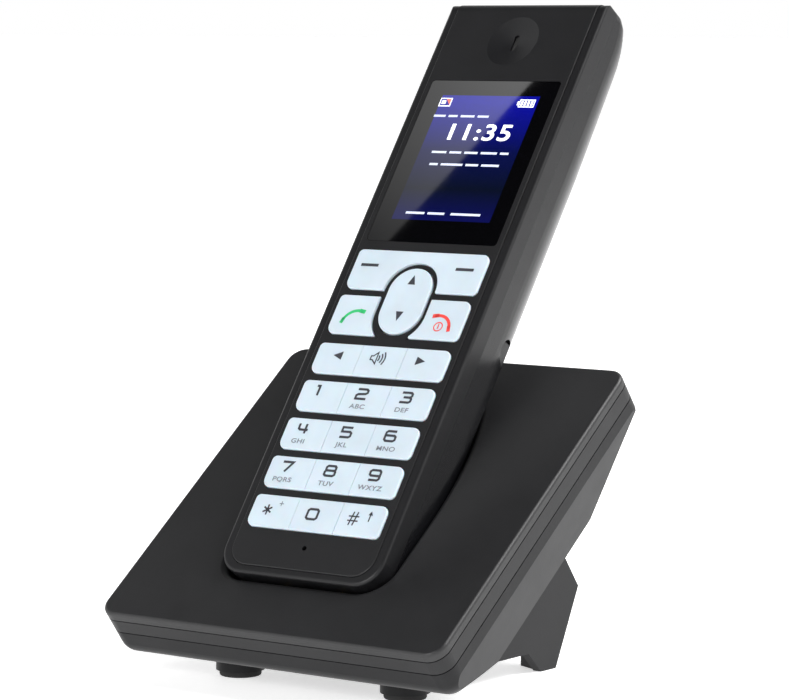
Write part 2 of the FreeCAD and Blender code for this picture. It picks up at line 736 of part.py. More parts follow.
def make_battery_door():
    """Door cut from the same outer form as the rear shell."""
    body = new_body("battery_door", HANDSET)
    rear_form(body)
    cut_block(body, "-shell_width", "shell_width", "-1", "shell_length + 1", "-door_back",
              "-front_depth + 1")
    cut_block(body, "-shell_width", "shell_width", "-1", "door_start", "-shell_depth - 1", "0")
    cut_block(body, "-shell_width", "shell_width", "door_start + door_length", "shell_length + 1",
              "-shell_depth - 1", "0")
    for left, right in (("-shell_width", "-door_width / 2"), ("door_width / 2", "shell_width")):
        cut_block(body, left, right, "-1", "shell_length + 1", "-shell_depth - 1", "0")
    # thumb groove near the top
    for step in range(3):
        low = f"door_start + door_length - 10 - {step} * 2.4"
        cut_block(body, "-6", "6", low, low + " + 1.0", "-shell_depth - 1", "-door_back - 1.2")
    return body


# ---- inside the handset -----------------------------------------------------------------------


def make_display_lens():
    body = new_body("display_lens", HANDSET)
    half = "(window_width / 2)"
    high = "(window_start + window_height)"
    add_block(body, "-" + half, half, "window_start", high, "-plate_thick", "lens_thick - plate_thick")
    soften(body, "window_corner",
           edges_on(body.Tip.Shape, x=at("-" + half, half), y=at("window_start", high)))
    return body


def make_lcd_module():
    body = new_body("lcd_module", HANDSET)
    middle = "window_start + window_height / 2"
    add_block(body, "-panel_width / 2", "panel_width / 2", f"{middle} - panel_height / 2",
              f"{middle} + panel_height / 2", f"{FLOOR_TOP} - panel_thick", f"{FLOOR_TOP} - 0.05")
    return body


def make_earpiece():
    """Receiver capsule behind the floor, with its raised sound port."""
    body = new_body("earpiece", HANDSET)
    add_disc(body, [("0", "ear_height")], "capsule_radius",
             f"{FLOOR_BOTTOM} - capsule_depth", f"{FLOOR_BOTTOM} - 0.05")
    cut_disc(body, [("0", "ear_height")], "capsule_radius - 3", f"{FLOOR_BOTTOM} - 0.8", "0")
    return body


def make_earpiece_cloth():
    body = new_body("earpiece_cloth", HANDSET)
    add_disc(body, [("0", "ear_height")], "capsule_radius - 1.6", f"{FLOOR_TOP} - 0.4",
             f"{FLOOR_TOP}")
    return body


def make_keypad_mat():
    """Rubber mat under the keys, lying in the floor's opening."""
    body = new_body("keypad_mat", HANDSET)
    add_block(body, "-row_width / 2 + 0.1", "row_width / 2 - 0.1", "row_start - 0.4",
              "soft_start + soft_height - 0.1", f"{MAT_TOP} - mat_thick", MAT_TOP)
    return body


def key_centres():
    """Where each key bears on its dome, as (x, y) texts."""
    column = "(row_width / 3)"
    places = []
    for row in range(5):
        for step in (-1, 0, 1):
            places.append((f"{step} * {column}", key_row_low(row) + " + key_height / 2"))
    for side in ("-", ""):
        places.append((f"{side}row_width / 3", "call_start + call_height / 2"))
        places.append((f"{side}row_width / 3", "soft_start + soft_height / 2"))
    places.append(("0", "nav_middle - nav_length / 3"))
    places.append(("0", "nav_middle + nav_length / 3"))
    return places


def make_key_domes():
    """Snap domes on the board, one under each pressing place."""
    body = new_body("key_domes", HANDSET)
    add_disc(body, key_centres(), "dome_radius", BOARD_FRONT, f"{BOARD_FRONT} + dome_thick")
    return body


def make_main_board():
    body = new_body("main_board", HANDSET)
    wide = "(shell_width / 2 - shell_wall - 0.4)"
    narrow = "(screw_spread / 2 - boss_radius - 1.5)"
    sketch = new_sketch(body, "XY_Plane", BOARD_BACK)
    draw_outline(sketch, [
        ("-" + narrow, "shell_wall + 0.6"), (narrow, "shell_wall + 0.6"), (narrow, "tongue_top"),
        (wide, "tongue_top"), (wide, "board_top"), ("-" + wide, "board_top"),
        ("-" + wide, "tongue_top"), ("-" + narrow, "tongue_top"),
    ])
    extrude(body, "Pad", sketch, "board_thick")
    return body


def make_microphone():
    body = new_body("microphone", HANDSET)
    add_disc(body, [("0", "mic_height")], "2.0", BOARD_FRONT, f"{FLOOR_TOP} - 0.1")
    cut_disc(body, [("0", "mic_height")], "0.6", f"{FLOOR_TOP} - 0.6", "0")
    return body


def make_radio_shield():
    """Screening can over the radio, on the board's rear."""
    body = new_body("radio_shield", HANDSET)
    add_block(body, "-13", "13", "board_top - 30", "board_top - 4", f"{BOARD_BACK} - 2.2", BOARD_BACK)
    cut_block(body, "-12.7", "12.7", "board_top - 29.7", "board_top - 4.3",
              f"{BOARD_BACK} - 1.9", f"{BOARD_BACK} + 0.5")
    return body


def make_card_reader():
    """SIM card reader on the board's rear, reached through the battery well."""
    body = new_body("card_reader", HANDSET)
    add_block(body, "-13", "13", "door_start + 9", "door_start + 25", f"{BOARD_BACK} - 2", BOARD_BACK)
    cut_block(body, "-12.2", "12.2", "door_start + 8", "door_start + 23.5",
              f"{BOARD_BACK} - 1.6", f"{BOARD_BACK} - 0.6")
    return body


def make_loudspeaker():
    body = new_body("loudspeaker", HANDSET)
    add_disc(body, [("0", "speaker_height")], "speaker_radius", BACK_INNER,
             f"{BACK_INNER} + speaker_depth")
    add_disc(body, [("0", "speaker_height")], "speaker_radius - 4", BACK_INNER,
             f"{BACK_INNER} + speaker_depth + 1.6")
    return body


def make_antenna():
    """Antenna carrier in the crown, between the upper screw posts."""
    body = new_body("antenna", HANDSET)
    half = "(screw_spread / 2 - boss_radius - 1)"
    add_block(body, "-" + half, half, "door_start + door_length + 4", "shell_length - 8",
              "-front_depth - 6.6", "-front_depth - 3.2")
    return body


def make_battery_pack():
    body = new_body("battery_pack", HANDSET)
    low = "(door_start + (door_length - battery_length) / 2)"
    top = f"({WELL_FLOOR} - 0.1)"
    add_block(body, "-battery_width / 2", "battery_width / 2", low, f"{low} + battery_length",
              f"{top} - battery_thick", top)
    long_sides = edges_on(body.Tip.Shape, x=at("-battery_width / 2", "battery_width / 2"),
                          z=at(f"{top} - battery_thick", top))
    soften(body, "battery_thick / 3", long_sides)
    return body


def make_handset_contacts():
    """Two charging contacts, flush with the handset's bottom end."""
    body = new_body("handset_contacts", HANDSET)
    for side in ("-", ""):
        add_block(body, f"{side}contact_spread / 2 - contact_size / 2",
                  f"{side}contact_spread / 2 + contact_size / 2", "0", "contact_thick",
                  "-contact_drop - contact_size / 2", "-contact_drop + contact_size / 2")
    return body


def make_handset_screws():
    body = new_body("handset_screws", HANDSET)
    seat = "(-shell_depth + screw_seat)"
    add_disc(body, SCREW_PLACES, "screw_shank / 2", seat, f"{FLOOR_BOTTOM} - 0.2")
    add_disc(body, SCREW_PLACES, "screw_head / 2", f"{seat} - 1.4", seat)
    cut_disc(body, SCREW_PLACES, "0.9", f"{seat} - 2", f"{seat} - 0.7")
    return body


# ---- keys -------------------------------------------------------------------------------------


def finish_key(body, splits=()):
    """Round the edges of a key's top, all but those where it meets its neighbours."""
    shape = body.Tip.Shape
    kept = edges_on(shape, x=at(*splits), z=at("key_proud")) if splits else []
    outer = [name for name in edges_on(shape, z=at("key_proud")) if name not in kept]
    soften(body, "key_edge", outer)
    return body


def make_row_key(name, column, row):
    """One of the three keys that share a row's hole; column is -1, 0 or 1."""
    body = new_body(name, HANDSET)
    left = f"({column} - 0.5) * row_width / 3" + ("" if column < 0 else " + key_split / 2")
    right = f"({column} + 0.5) * row_width / 3" + ("" if column > 0 else " - key_split / 2")
    low = key_row_low(row)
    high = f"({low} + key_height)"
    wide, tight, _, _ = key_corners("0")
    left_pair = (wide, tight) if column < 0 else ("0", "0")
    right_pair = (tight, wide) if column > 0 else ("0", "0")
    radii = (left_pair[0], right_pair[0], right_pair[1], left_pair[1])
    add_rounded(body, left, right, low, high, radii, KEY_BOTTOM, "key_proud")
    splits = ([left] if column > -1 else []) + ([right] if column < 1 else [])
    return finish_key(body, splits)


def make_call_key(name, column):
    """Green or red key beside the rocker, hollowed to the rocker's ring."""
    body = new_body(name, HANDSET)
    outer = f"{column} * row_width / 2"
    inner = f"{column} * call_inner"
    left, right = (outer, inner) if column < 0 else (inner, outer)
    wide, tight, _, _ = key_corners("0")
    radii = (wide, "0", "0", tight) if column < 0 else ("0", tight, wide, "0")
    add_rounded(body, left, right, "call_start", "(call_start + call_height)", radii,
                KEY_BOTTOM, "key_proud")
    finish_key(body, [inner])
    cut_ring_room(body)
    return body


def cut_ring_room(body):
    """Room for the rocker's ring, all through a key."""
    room = stadium("moat_width + 2 * key_gap", "moat_length + 2 * key_gap", "moat_middle")
    cut_rounded(body, *room, "-plate_thick - 1", "key_proud + 1")


def make_soft_key_bar():
    """One plate over the whole width, pressed at its left or right end."""
    body = new_body("soft_key_bar", HANDSET)
    half = "row_width / 2"
    high = "(soft_start + soft_height)"
    add_rounded(body, "-" + half, half, "soft_start", high, key_corners("0"),
                KEY_BOTTOM, "key_proud")
    finish_key(body)
    cut_ring_room(body)
    return body


def make_nav_key():
    body = new_body("nav_key", HANDSET)
    add_rounded(body, *stadium("nav_width", "nav_length", "nav_middle"), KEY_BOTTOM, "key_proud")
    return finish_key(body)


ROW_KEYS = [
    ("star_key", "key_0", "hash_key"),
    ("key_7", "key_8", "key_9"),
    ("key_4", "key_5", "key_6"),
    ("key_1", "key_2", "key_3"),
    ("left_key", "speaker_key", "right_key"),
]


# ---- base -------------------------------------------------------------------------------------


def round_base_corners(body):
    corners = edges_on(body.Tip.Shape, x=at("-base_width / 2", "base_width / 2"),
                       y=at("0", "base_length"))
    soften(body, "base_corner", corners)


def trough(body, kind, gap, top):
    """The cradle's trough: the handset's rear form grown by a gap, its heel corner cut off."""
    half = f"(shell_width / 2 + seat_gap + {gap})"
    back = f"(-shell_depth - seat_gap - {gap})"
    low = f"(-end_gap - {gap})"
    long_form(body, kind, half, back, top, f"(back_round + seat_gap + {gap})", low,
              "(shell_length - 20)", "seat")


def make_top_cover():
    """Deck of the base with the trough that the handset stands in."""
    body = new_body("top_cover", BASE)
    trough(body, "Pad", "seat_wall", "1")
    # the trough stays below the deck and short of the rear edge
    cut_block(body, "-base_width", "base_width", "-base_length", "3 * base_length",
              "-deck_thick / 2", "2 * shell_length")
    cut_block(body, "-base_width", "base_width", "base_length - 2.5", "3 * base_length",
              "-shell_length", "2 * shell_length")
    # heel corner cut off along the trough's outside
    out = "seat_wall"
    heel_y, heel_z = seat_point(f"(-end_gap - {out})", f"(shell_depth + seat_gap + {out} - heel_cut)")
    toe_y, toe_z = seat_point(f"(heel_cut - end_gap - {out})", f"(shell_depth + seat_gap + {out})")
    past_y, past_z = seat_point(f"(-end_gap - {out} - 3)", f"(shell_depth + seat_gap + {out} + 3)")
    profile(body, "Pocket", [(heel_y, heel_z), (toe_y, toe_z), (past_y, past_z)], "base_width")
    add_block(body, "-base_width / 2", "base_width / 2", "0", "base_length", "-deck_thick", "0")
    round_base_corners(body)
    rim = [name for name in edges_on(body.Tip.Shape, z=[0])
           if on_deck_rim(body.Tip.Shape.getElement(name))]
    soften(body, "deck_round", rim)
    trough(body, "Pocket", "0", "30")
    # heel wall across the trough's lower rear corner
    profile(body, "Pad", [
        seat_point("(-end_gap - 0.1)", "(shell_depth + seat_gap - heel_cut)"),
        seat_point("(heel_cut - end_gap)", "(shell_depth + seat_gap + 0.1)"),
        seat_point("(heel_cut - end_gap - 1.0)", "(shell_depth + seat_gap + 0.1)"),
        seat_point("(-end_gap - 0.1)", "(shell_depth + seat_gap - heel_cut + 1.0)"),
    ], "shell_width - 2 * back_round + 4")
    # the trough's front corners follow the handset's, and its mouth is rounded over
    corner = "(bottom_corner + seat_gap)"
    for side in (-1, 1):
        sketch = new_sketch(body, "XY_Plane", "(-shell_depth / 2)", "seat")
        draw_corner_waste(sketch, f"{side} * (shell_width / 2 + seat_gap)", "(-end_gap)",
                          corner, side, -1)
        extrude(body, "Pad", sketch, "shell_depth")
    cut_block(body, "-base_width", "base_width", "-1", "base_length + 1", "0", "shell_depth")
    mouth = [name for name in edges_on(body.Tip.Shape, z=[0])
             if not on_deck_rim(body.Tip.Shape.getElement(name))]
    soften(body, "mouth_round", mouth)
    # posts for the base's screws, outside the trough
    add_disc(body, BASE_SCREWS, "base_boss", "-trim_bottom", "-deck_thick")
    cut_disc(body, BASE_SCREWS, "screw_shank / 2 + 0.05", "-trim_bottom - 1", "-deck_thick + 0.6")
    # two rest pads at the trough's end, and holes for the charging pins
    for side in (-1, 1):
        add_block(body, f"{side} * rest_spread / 2 - 1.5", f"{side} * rest_spread / 2 + 1.5",
                  "-end_gap - 0.2", "-0.1", "-contact_drop - 3", "-contact_drop + 3", "seat")
    for side in (-1, 1):
        drill(body, side, "pin_radius + 0.15", "-end_gap - seat_wall - 1", "0")
    return body


def drill(body, side, radius, low, high):
    """Cut a round hole along the seated handset, in line with one of its contacts."""
    sketch = new_sketch(body, "XZ_Plane")
    sketch.AttachmentOffset = FreeCAD.Placement(
        FreeCAD.Vector(), FreeCAD.Rotation(FreeCAD.Vector(1, 0, 0), 1))
    y, z = seat_point(low, "contact_drop")
    sketch.setExpression("AttachmentOffset.Rotation.Angle", bound(TURN))
    sketch.setExpression("AttachmentOffset.Base.y", bound(z))
    sketch.setExpression("AttachmentOffset.Base.z", bound(f"-({y})"))
    draw_circle(sketch, f"{side} * contact_spread / 2", "0", radius)
    return extrude(body, "Pocket", sketch, f"({high}) - ({low})")


def on_deck_rim(edge):
    """Whether an edge of the deck's top runs along its outer rim."""
    half = number("base_width / 2")
    length = number("base_length")
    reach = number("base_corner")
    middle = edge.valueAt((edge.FirstParameter + edge.LastParameter) / 2)
    if abs(abs(middle.x) - half) < 0.01 or min(abs(middle.y), abs(middle.y - length)) < 0.01:
        return True
    near_x = abs(middle.x) > half - reach
    return near_x and (middle.y < reach or middle.y > length - reach)


def make_trim_ring():
    """Upper housing: a frame between the deck and the lower shell."""
    body = new_body("trim_ring", BASE)
    top = "(-deck_thick - seam)"
    add_block(body, "-base_width / 2", "base_width / 2", "0", "base_length", "-trim_bottom", top)
    round_base_corners(body)
    side = "(base_width / 2 - trim_wall)"
    cut_block(body, "-" + side, side, "trim_wall", "base_length - trim_wall", "-trim_bottom - 1", "0")
    soften(body, "base_corner - trim_wall",
           edges_on(body.Tip.Shape, x=at("-" + side, side), y=at("trim_wall", "base_length - trim_wall")))
    return body


def make_lower_shell():
    """Lower shell: upright band, sloped chin and tail, drawn-in flanks, floor and foot posts."""
    body = new_body("lower_shell", BASE)
    top = "(-trim_bottom - seam)"
    profile(body, "Pad", [
        ("0", top), ("0", "-chin_bottom"), ("flat_start", "-tray_bottom"),
        ("flat_end", "-tray_bottom"), ("base_length", "-band_bottom"), ("base_length", top),
    ], "base_width")
    soften(body, "chin_round", edges_on(body.Tip.Shape, y=[0], z=at("-chin_bottom")))
    round_base_corners(body)
    # flanks drawn in below the band
    for side in (-1, 1):
        sketch = new_sketch(body, "XZ_Plane", "1")
        draw_outline(sketch, [
            (f"{side} * base_width / 2", "-band_bottom"),
            (f"{side} * (base_width / 2 - side_inset)", "-tray_bottom"),
            (f"{side} * (base_width / 2 - side_inset)", "-tray_bottom - 1"),
            (f"{side} * (base_width / 2 + 1)", "-tray_bottom - 1"),
            (f"{side} * (base_width / 2 + 1)", "-band_bottom"),
        ])
        extrude(body, "Pocket", sketch, "base_length + 2")
    # hollow inside
    half = "(base_width / 2 - side_inset - tray_wall)"
    inner_floor = "(-tray_bottom + tray_floor)"
    profile(body, "Pocket", [
        ("tray_wall", top + " + 1"), ("tray_wall", "-chin_bottom + tray_floor"),
        ("flat_start", inner_floor), ("flat_end", inner_floor),
        ("base_length - tray_wall - 3", "-band_bottom"), ("base_length - tray_wall - 3", top + " + 1"),
    ], f"2 * {half}")
    # foot posts, upright when the base stands on its feet, with a seat for each rubber foot
    posts = [(f"{side} * foot_spread / 2", "foot_back") for side in (-1, 1)]
    add_disc(body, posts, "post_radius", "foot_thick - foot_sunk", "post_top", "ground")
    cut_disc(body, posts, "foot_radius + 0.05", "-1", "foot_thick", "ground")
    # posts and holes of the base's screws, heads sunk into the floor
    add_disc(body, BASE_SCREWS, "base_boss", "-tray_bottom", "-trim_bottom - 0.05")
    cut_disc(body, BASE_SCREWS, "screw_shank / 2 + 0.2", "-tray_bottom - 1", "0")
    cut_disc(body, BASE_SCREWS, "screw_head / 2 + 0.2", "-tray_bottom - 1", "-tray_bottom + 2.6")
    # blind posts for the stand's screws, rests for the charger board, hole for the power inlet
    add_disc(body, STAND_SCREWS, "base_boss", "-tray_bottom", "-tray_bottom + 7")
    cut_disc(body, STAND_SCREWS, "screw_shank / 2 + 0.05", "-tray_bottom - 1", "-tray_bottom + 6")
    rests = [(f"jack_side + {side} * (charger_width / 2 - 2.5)", "charger_start + 3")
             for side in (-1, 1)]
    add_disc(body, rests, "1.8", "-tray_bottom + 0.5", "-tray_bottom + jack_length")
    cut_disc(body, [("jack_side", "jack_along")], "jack_bore + 1.3", "-tray_bottom - 1", "0")
    return body


def make_base_screws():
    body = new_body("base_screws", BASE)
    seat = "(-tray_bottom + 2.6)"
    add_disc(body, BASE_SCREWS, "screw_shank / 2", seat, "-deck_thick")
    add_disc(body, BASE_SCREWS, "screw_head / 2", f"{seat} - 1.5", seat)
    cut_disc(body, BASE_SCREWS, "0.9", f"{seat} - 2", f"{seat} - 0.7")
    return body


def make_stand_screws():
    body = new_body("stand_screws", BASE)
    seat = "(-tray_bottom - stand_wall)"
    add_disc(body, STAND_SCREWS, "screw_shank / 2", seat, "-tray_bottom + 5.5")
    add_disc(body, STAND_SCREWS, "screw_head / 2", f"{seat} - 1.5", seat)
    cut_disc(body, STAND_SCREWS, "0.9", f"{seat} - 2", f"{seat} - 0.7")
    return body


def make_contact_block():
    """Carrier of the two sprung charging pins, against the outside of the trough's end."""
    body = new_body("contact_block", HANDSET)
    face = "(-end_gap - seat_wall)"
    add_block(body, "-block_width / 2", "block_width / 2", f"{face} - block_length", face,
              "-contact_drop - block_height / 2", "-contact_drop + block_height / 2")
    for side in (-1, 1):
        bar(body, "Pocket", side, "pin_radius + pin_fit", f"{face} - 1.5", f"{face} + 1")
        bar(body, "Pocket", side, "pin_flange + 0.3", f"{face} - 7", f"{face} - 1")
    return body


def bar(body, kind, side, radius, low, high):
    """Add or cut a round bar along the handset, at a contact's place."""
    sketch = new_sketch(body, "XZ_Plane", f"-({high})")
    draw_circle(sketch, f"{side} * contact_spread / 2", "-contact_drop", radius)
    feature = body.newObject("PartDesign::" + kind, body.Name + "_" + kind.lower())
    feature.Profile = sketch
    feature.setExpression("Length", bound(f"({high}) - ({low})"))
    feature.Reversed = kind == "Pocket"
    body.Tip = feature
    doc.recompute()


def make_charge_pin(name, side):
    """Stepped pin: a rounded tip, a flange that stops it and a tail for its spring."""
    body = new_body(name, HANDSET)
    face = "(-end_gap - seat_wall)"
    bar(body, "Pad", side, "pin_radius", f"{face} - 1.1", "-0.05")
    bar(body, "Pad", side, "pin_flange", f"{face} - 2.0", f"{face} - 1.1")
    bar(body, "Pad", side, "pin_radius - 0.3", f"{face} - 4.5", f"{face} - 2.0")
    soften(body, "0.3", edges_on(body.Tip.Shape, y=at("-0.05")))
    return body


def make_charger_board():
    body = new_body("charger_board", BASE)
    low = "(-tray_bottom + jack_length)"
    add_block(body, "jack_side - charger_width / 2", "jack_side + charger_width / 2",
              "charger_start", "charger_start + charger_length", low, f"{low} + charger_thick")
    return body


def make_dc_jack():
    """Power inlet in the underside: a collar through the floor, a barrel and its centre pin."""
    body = new_body("dc_jack", BASE)
    place = [("jack_side", "jack_along")]
    inside = "(-tray_bottom + tray_floor)"
    add_block(body, "jack_side - jack_size / 2", "jack_side + jack_size / 2",
              "jack_along - jack_size / 2", "jack_along + jack_size / 2", inside,
              "-tray_bottom + jack_length")
    add_disc(body, place, "jack_bore + 1.2", "-tray_bottom", inside)
    cut_disc(body, place, "jack_bore", "-tray_bottom - 1", "-tray_bottom + jack_length - 1.6")
    add_disc(body, place, "jack_pin", "-tray_bottom + 1", "-tray_bottom + jack_length - 1")
    return body


def make_front_feet():
    """Two rubber feet under the chin."""
    body = new_body("front_feet", GROUND)
    places = [(f"{side} * foot_spread / 2", "foot_back") for side in (-1, 1)]
    add_disc(body, places, "foot_radius", "0", "foot_thick")
    soften(body, "0.5", edges_on(body.Tip.Shape, z=[0]))
    return body


def ground_point(y, z):
    """Base-frame texts of a point so far behind the front edge and so high above the table."""
    lift = f"(({z}) - front_edge_height)"
    return (f"(({y}) * cos(base_tilt) + {lift} * sin(base_tilt))",
            f"({lift} * cos(base_tilt) - ({y}) * sin(base_tilt))")


def make_desk_stand():
    """Bracket under the base: two side plates that reach the table, a rear wall and a top plate."""
    body = new_body("desk_stand", BASE)
    front, front_low = ground_point("stand_front", "stand_clear")
    knee, knee_low = ground_point("stand_knee", "stand_knee_height")
    tail_rise = "(tray_bottom - band_bottom) / (base_length - flat_end)"
    profile(body, "Pad", [
        (front, front_low),
        ground_point("stand_step", "stand_clear"),
        ground_point("stand_toe", "0"),
        ground_point("stand_heel", "0"),
        (knee, knee_low),
        (knee, f"-tray_bottom + ({knee} - flat_end) * {tail_rise}"),
        ("flat_end", "-tray_bottom"),
        (front, "-tray_bottom"),
    ], "stand_width")
    inner_top = "(-tray_bottom - stand_wall)"
    inner_rear = f"({knee} - stand_wall)"
    profile(body, "Pocket", [
        (front + " - 1", inner_top), (inner_rear, inner_top), (inner_rear, knee_low + " - 0.5"),
        ground_point("stand_heel + 12", "-6"), ground_point("0", "-6"),
    ], "stand_width - 2 * stand_wall")
    # feet, wider than the plates, with a slanted front
    for side in (-1, 1):
        sketch = new_sketch(body, "XY_Plane", "0", "ground")
        outer = f"{side} * stand_width / 2"
        inner = f"{side} * (stand_width / 2 - stand_foot_width)"
        draw_outline(sketch, [
            (outer, "stand_toe"), (outer, "stand_heel"), (inner, "stand_heel"),
            (inner, "stand_toe + 0.6 * (stand_heel - stand_toe)"),
        ])
        extrude(body, "Pad", sketch, "stand_clear")
    cut_disc(body, STAND_SCREWS, "screw_shank / 2 + 0.2", "-tray_bottom - stand_wall - 1",
             "-tray_bottom")
    return body


# ---- the whole phone --------------------------------------------------------------------------


def make_all():
    """Every sub-part, in the order it would lie on the bench."""
    parts = [
        make_front_shell(), make_face_plate(), make_display_lens(), make_lcd_module(),
        make_earpiece(), make_earpiece_cloth(), make_keypad_mat(), make_key_domes(),
        make_main_board(), make_microphone(), make_radio_shield(), make_card_reader(),
        make_loudspeaker(), make_antenna(), make_battery_pack(), make_rear_shell(),
        make_battery_door(), make_handset_contacts(), make_handset_screws(),
        make_soft_key_bar(), make_nav_key(), make_call_key("talk_key", -1),
        make_call_key("end_key", 1),
    ]
    for row, names in enumerate(ROW_KEYS):
        for column, name in zip((-1, 0, 1), names):
            parts.append(make_row_key(name, column, row))
    parts += [
        make_top_cover(), make_trim_ring(), make_lower_shell(), make_contact_block(),
        make_charge_pin("charge_pin_left", -1), make_charge_pin("charge_pin_right", 1),
        make_charger_board(), make_dc_jack(), make_base_screws(), make_front_feet(),
        make_desk_stand(), make_stand_screws(),
    ]
    return parts


def check_document(parts):
    """Stop before anything is written if a feature failed or a sub-part is not a sound solid."""
    doc.recompute()
    for item in doc.Objects:
        if "Invalid" in item.State or "Error" in item.State:
            raise RuntimeError(f"{item.Name} failed: {item.State}")
    for part in parts:
        if part.Shape.isNull() or not part.Shape.isValid() or not part.Shape.Solids:
            raise RuntimeError(f"{part.Label} has no sound solid")


def write_parts(parts):
    os.makedirs("parts", exist_ok=True)
    for part in parts:
        part.Shape.exportStep(f"parts/{part.Label}.step")
        print(f"{part.Label:18s} {len(part.Shape.Solids)} solid(s) {part.Shape.Volume:10.1f} mm3")


phone = make_all()
check_document(phone)
write_parts(phone)
whole = Part.makeCompound([part.Shape for part in phone]).BoundBox
print(f"box x {whole.XMin:.2f} {whole.XMax:.2f}  y {whole.YMin:.2f} {whole.YMax:.2f}"
      f"  z {whole.ZMin:.2f} {whole.ZMax:.2f}")
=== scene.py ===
import math

import bpy
from mathutils import Matrix, Vector
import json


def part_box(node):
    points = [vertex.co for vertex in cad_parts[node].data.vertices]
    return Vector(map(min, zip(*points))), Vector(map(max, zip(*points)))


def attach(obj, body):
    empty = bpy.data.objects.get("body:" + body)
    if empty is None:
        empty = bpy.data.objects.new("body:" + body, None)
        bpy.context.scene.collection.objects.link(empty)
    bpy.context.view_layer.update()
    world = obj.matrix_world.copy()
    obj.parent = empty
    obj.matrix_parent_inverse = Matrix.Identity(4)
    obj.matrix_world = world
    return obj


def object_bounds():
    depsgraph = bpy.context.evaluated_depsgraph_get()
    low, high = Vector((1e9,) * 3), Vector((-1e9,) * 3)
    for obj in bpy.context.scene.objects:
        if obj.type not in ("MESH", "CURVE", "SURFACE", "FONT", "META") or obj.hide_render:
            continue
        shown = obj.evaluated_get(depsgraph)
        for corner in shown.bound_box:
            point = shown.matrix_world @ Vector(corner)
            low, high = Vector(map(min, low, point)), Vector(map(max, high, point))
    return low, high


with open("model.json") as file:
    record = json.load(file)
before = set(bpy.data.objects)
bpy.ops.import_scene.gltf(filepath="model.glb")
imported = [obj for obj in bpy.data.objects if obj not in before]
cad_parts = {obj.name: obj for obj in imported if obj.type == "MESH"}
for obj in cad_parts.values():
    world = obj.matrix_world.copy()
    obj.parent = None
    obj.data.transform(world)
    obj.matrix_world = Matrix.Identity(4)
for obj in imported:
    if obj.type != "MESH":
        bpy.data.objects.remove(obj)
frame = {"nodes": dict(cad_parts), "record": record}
cad_low, cad_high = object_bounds()

MM = 0.001

# ---- the handset's working frame, found from its packed display window ----------------------------
# x to the right, t up the handset from its bottom end, n out of its face, all in millimetres

HANDSET_LEAN = math.radians(54.4)
WINDOW_START = 88.0
LENS_THICK = 1.55
LENS_TOP = -0.05


def handset_frame():
    """Matrix from millimetres in the handset's frame to the row frame, from the window's low edge."""
    low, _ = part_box("display_lens")
    corner = Vector((0, low[1], low[2] + LENS_THICK * MM * math.cos(HANDSET_LEAN)))
    up = Vector((0, math.cos(HANDSET_LEAN), math.sin(HANDSET_LEAN)))
    normal = Vector((0, -math.sin(HANDSET_LEAN), math.cos(HANDSET_LEAN)))
    origin = corner - up * WINDOW_START * MM - normal * LENS_TOP * MM
    turn = Matrix(((1, 0, 0), up, normal)).transposed().to_4x4()
    return Matrix.Translation(origin) @ turn @ Matrix.Scale(MM, 4)


FACE = handset_frame()

# ---- handset layout, millimetres ------------------------------------------------------------------

ROW_START = 11.5     # lower edge of the row with the star, the 0 and the hash
ROW_PITCH = 10.03
COLUMN = 37.4 / 3    # from one column of keys to the next
KEY_TOP = 0.45       # how far the keys stand out of the face
INK_LIFT = 0.015
INK_THICK = 0.03
CALL_START = 62.3
SOFT_START = 74.5
DIGIT_HEIGHT = 5.4   # heights of marks above their row's lower edge
LETTERS_HEIGHT = 2.1
LOW_MARK_HEIGHT = 4.3
ARROW_HEIGHT = 4.9
ARROW_ROW = 4
SCREEN_MIDDLE = (0.2, 111.6)
SCREEN_SIZE = (28.0, 35.0)


# ---- materials ------------------------------------------------------------------------------------


def new_material(name, colour, roughness, **sockets):
    """A Principled material; its constant values are set on the shader's own sockets."""
    material = bpy.data.materials.new(name)
    material.use_nodes = True
    shader = material.node_tree.nodes["Principled BSDF"]
    shader.inputs["Base Color"].default_value = (*colour, 1)
    shader.inputs["Roughness"].default_value = roughness
    for socket, value in sockets.items():
        shader.inputs[socket.replace("_", " ")].default_value = value
    return material


def add_node(material, kind, **values):
    node = material.node_tree.nodes.new(kind)
    for key, value in values.items():
        if hasattr(node, key):
            setattr(node, key, value)
        else:
            node.inputs[key.replace("_", " ")].default_value = value
    return node


def link(material, source, target):
    material.node_tree.links.new(source, target)


def noise(material, scale, detail=3.0, rough=0.6):
    where = add_node(material, "ShaderNodeTexCoord")
    node = add_node(material, "ShaderNodeTexNoise", Scale=scale, Detail=detail, Roughness=rough)
    link(material, where.outputs["Object"], node.inputs["Vector"])
    return node


def ramp(material, source, low, high, start=0.3, end=0.7):
    """A colour ramp from low to high over the middle of a noise."""
    node = add_node(material, "ShaderNodeValToRGB")
    stops = node.color_ramp.elements
    stops[0].position, stops[0].color = start, (*low, 1)
    stops[1].position, stops[1].color = end, (*high, 1)
    link(material, source, node.inputs["Fac"])
    return node


def spread(material, source, low, high):
    node = add_node(material, "ShaderNodeMapRange")
    node.inputs["To Min"].default_value = low
    node.inputs["To Max"].default_value = high
    link(material, source, node.inputs["Value"])
    return node


def vary_colour(material, colour, amount, scale):
    """Slow cloudy variation of the base colour."""
    shader = material.node_tree.nodes["Principled BSDF"]
    low = [channel * (1 - amount) for channel in colour]
    high = [min(1.0, channel * (1 + amount)) for channel in colour]
    clouds = noise(material, scale)
    link(material, ramp(material, clouds.outputs["Fac"], low, high).outputs["Color"],
         shader.inputs["Base Color"])


def vary_roughness(material, low, high, scale):
    """Patchy roughness, as handling and wear leave it."""
    shader = material.node_tree.nodes["Principled BSDF"]
    patches = noise(material, scale, 5.0)
    link(material, spread(material, patches.outputs["Fac"], low, high).outputs["Result"],
         shader.inputs["Roughness"])


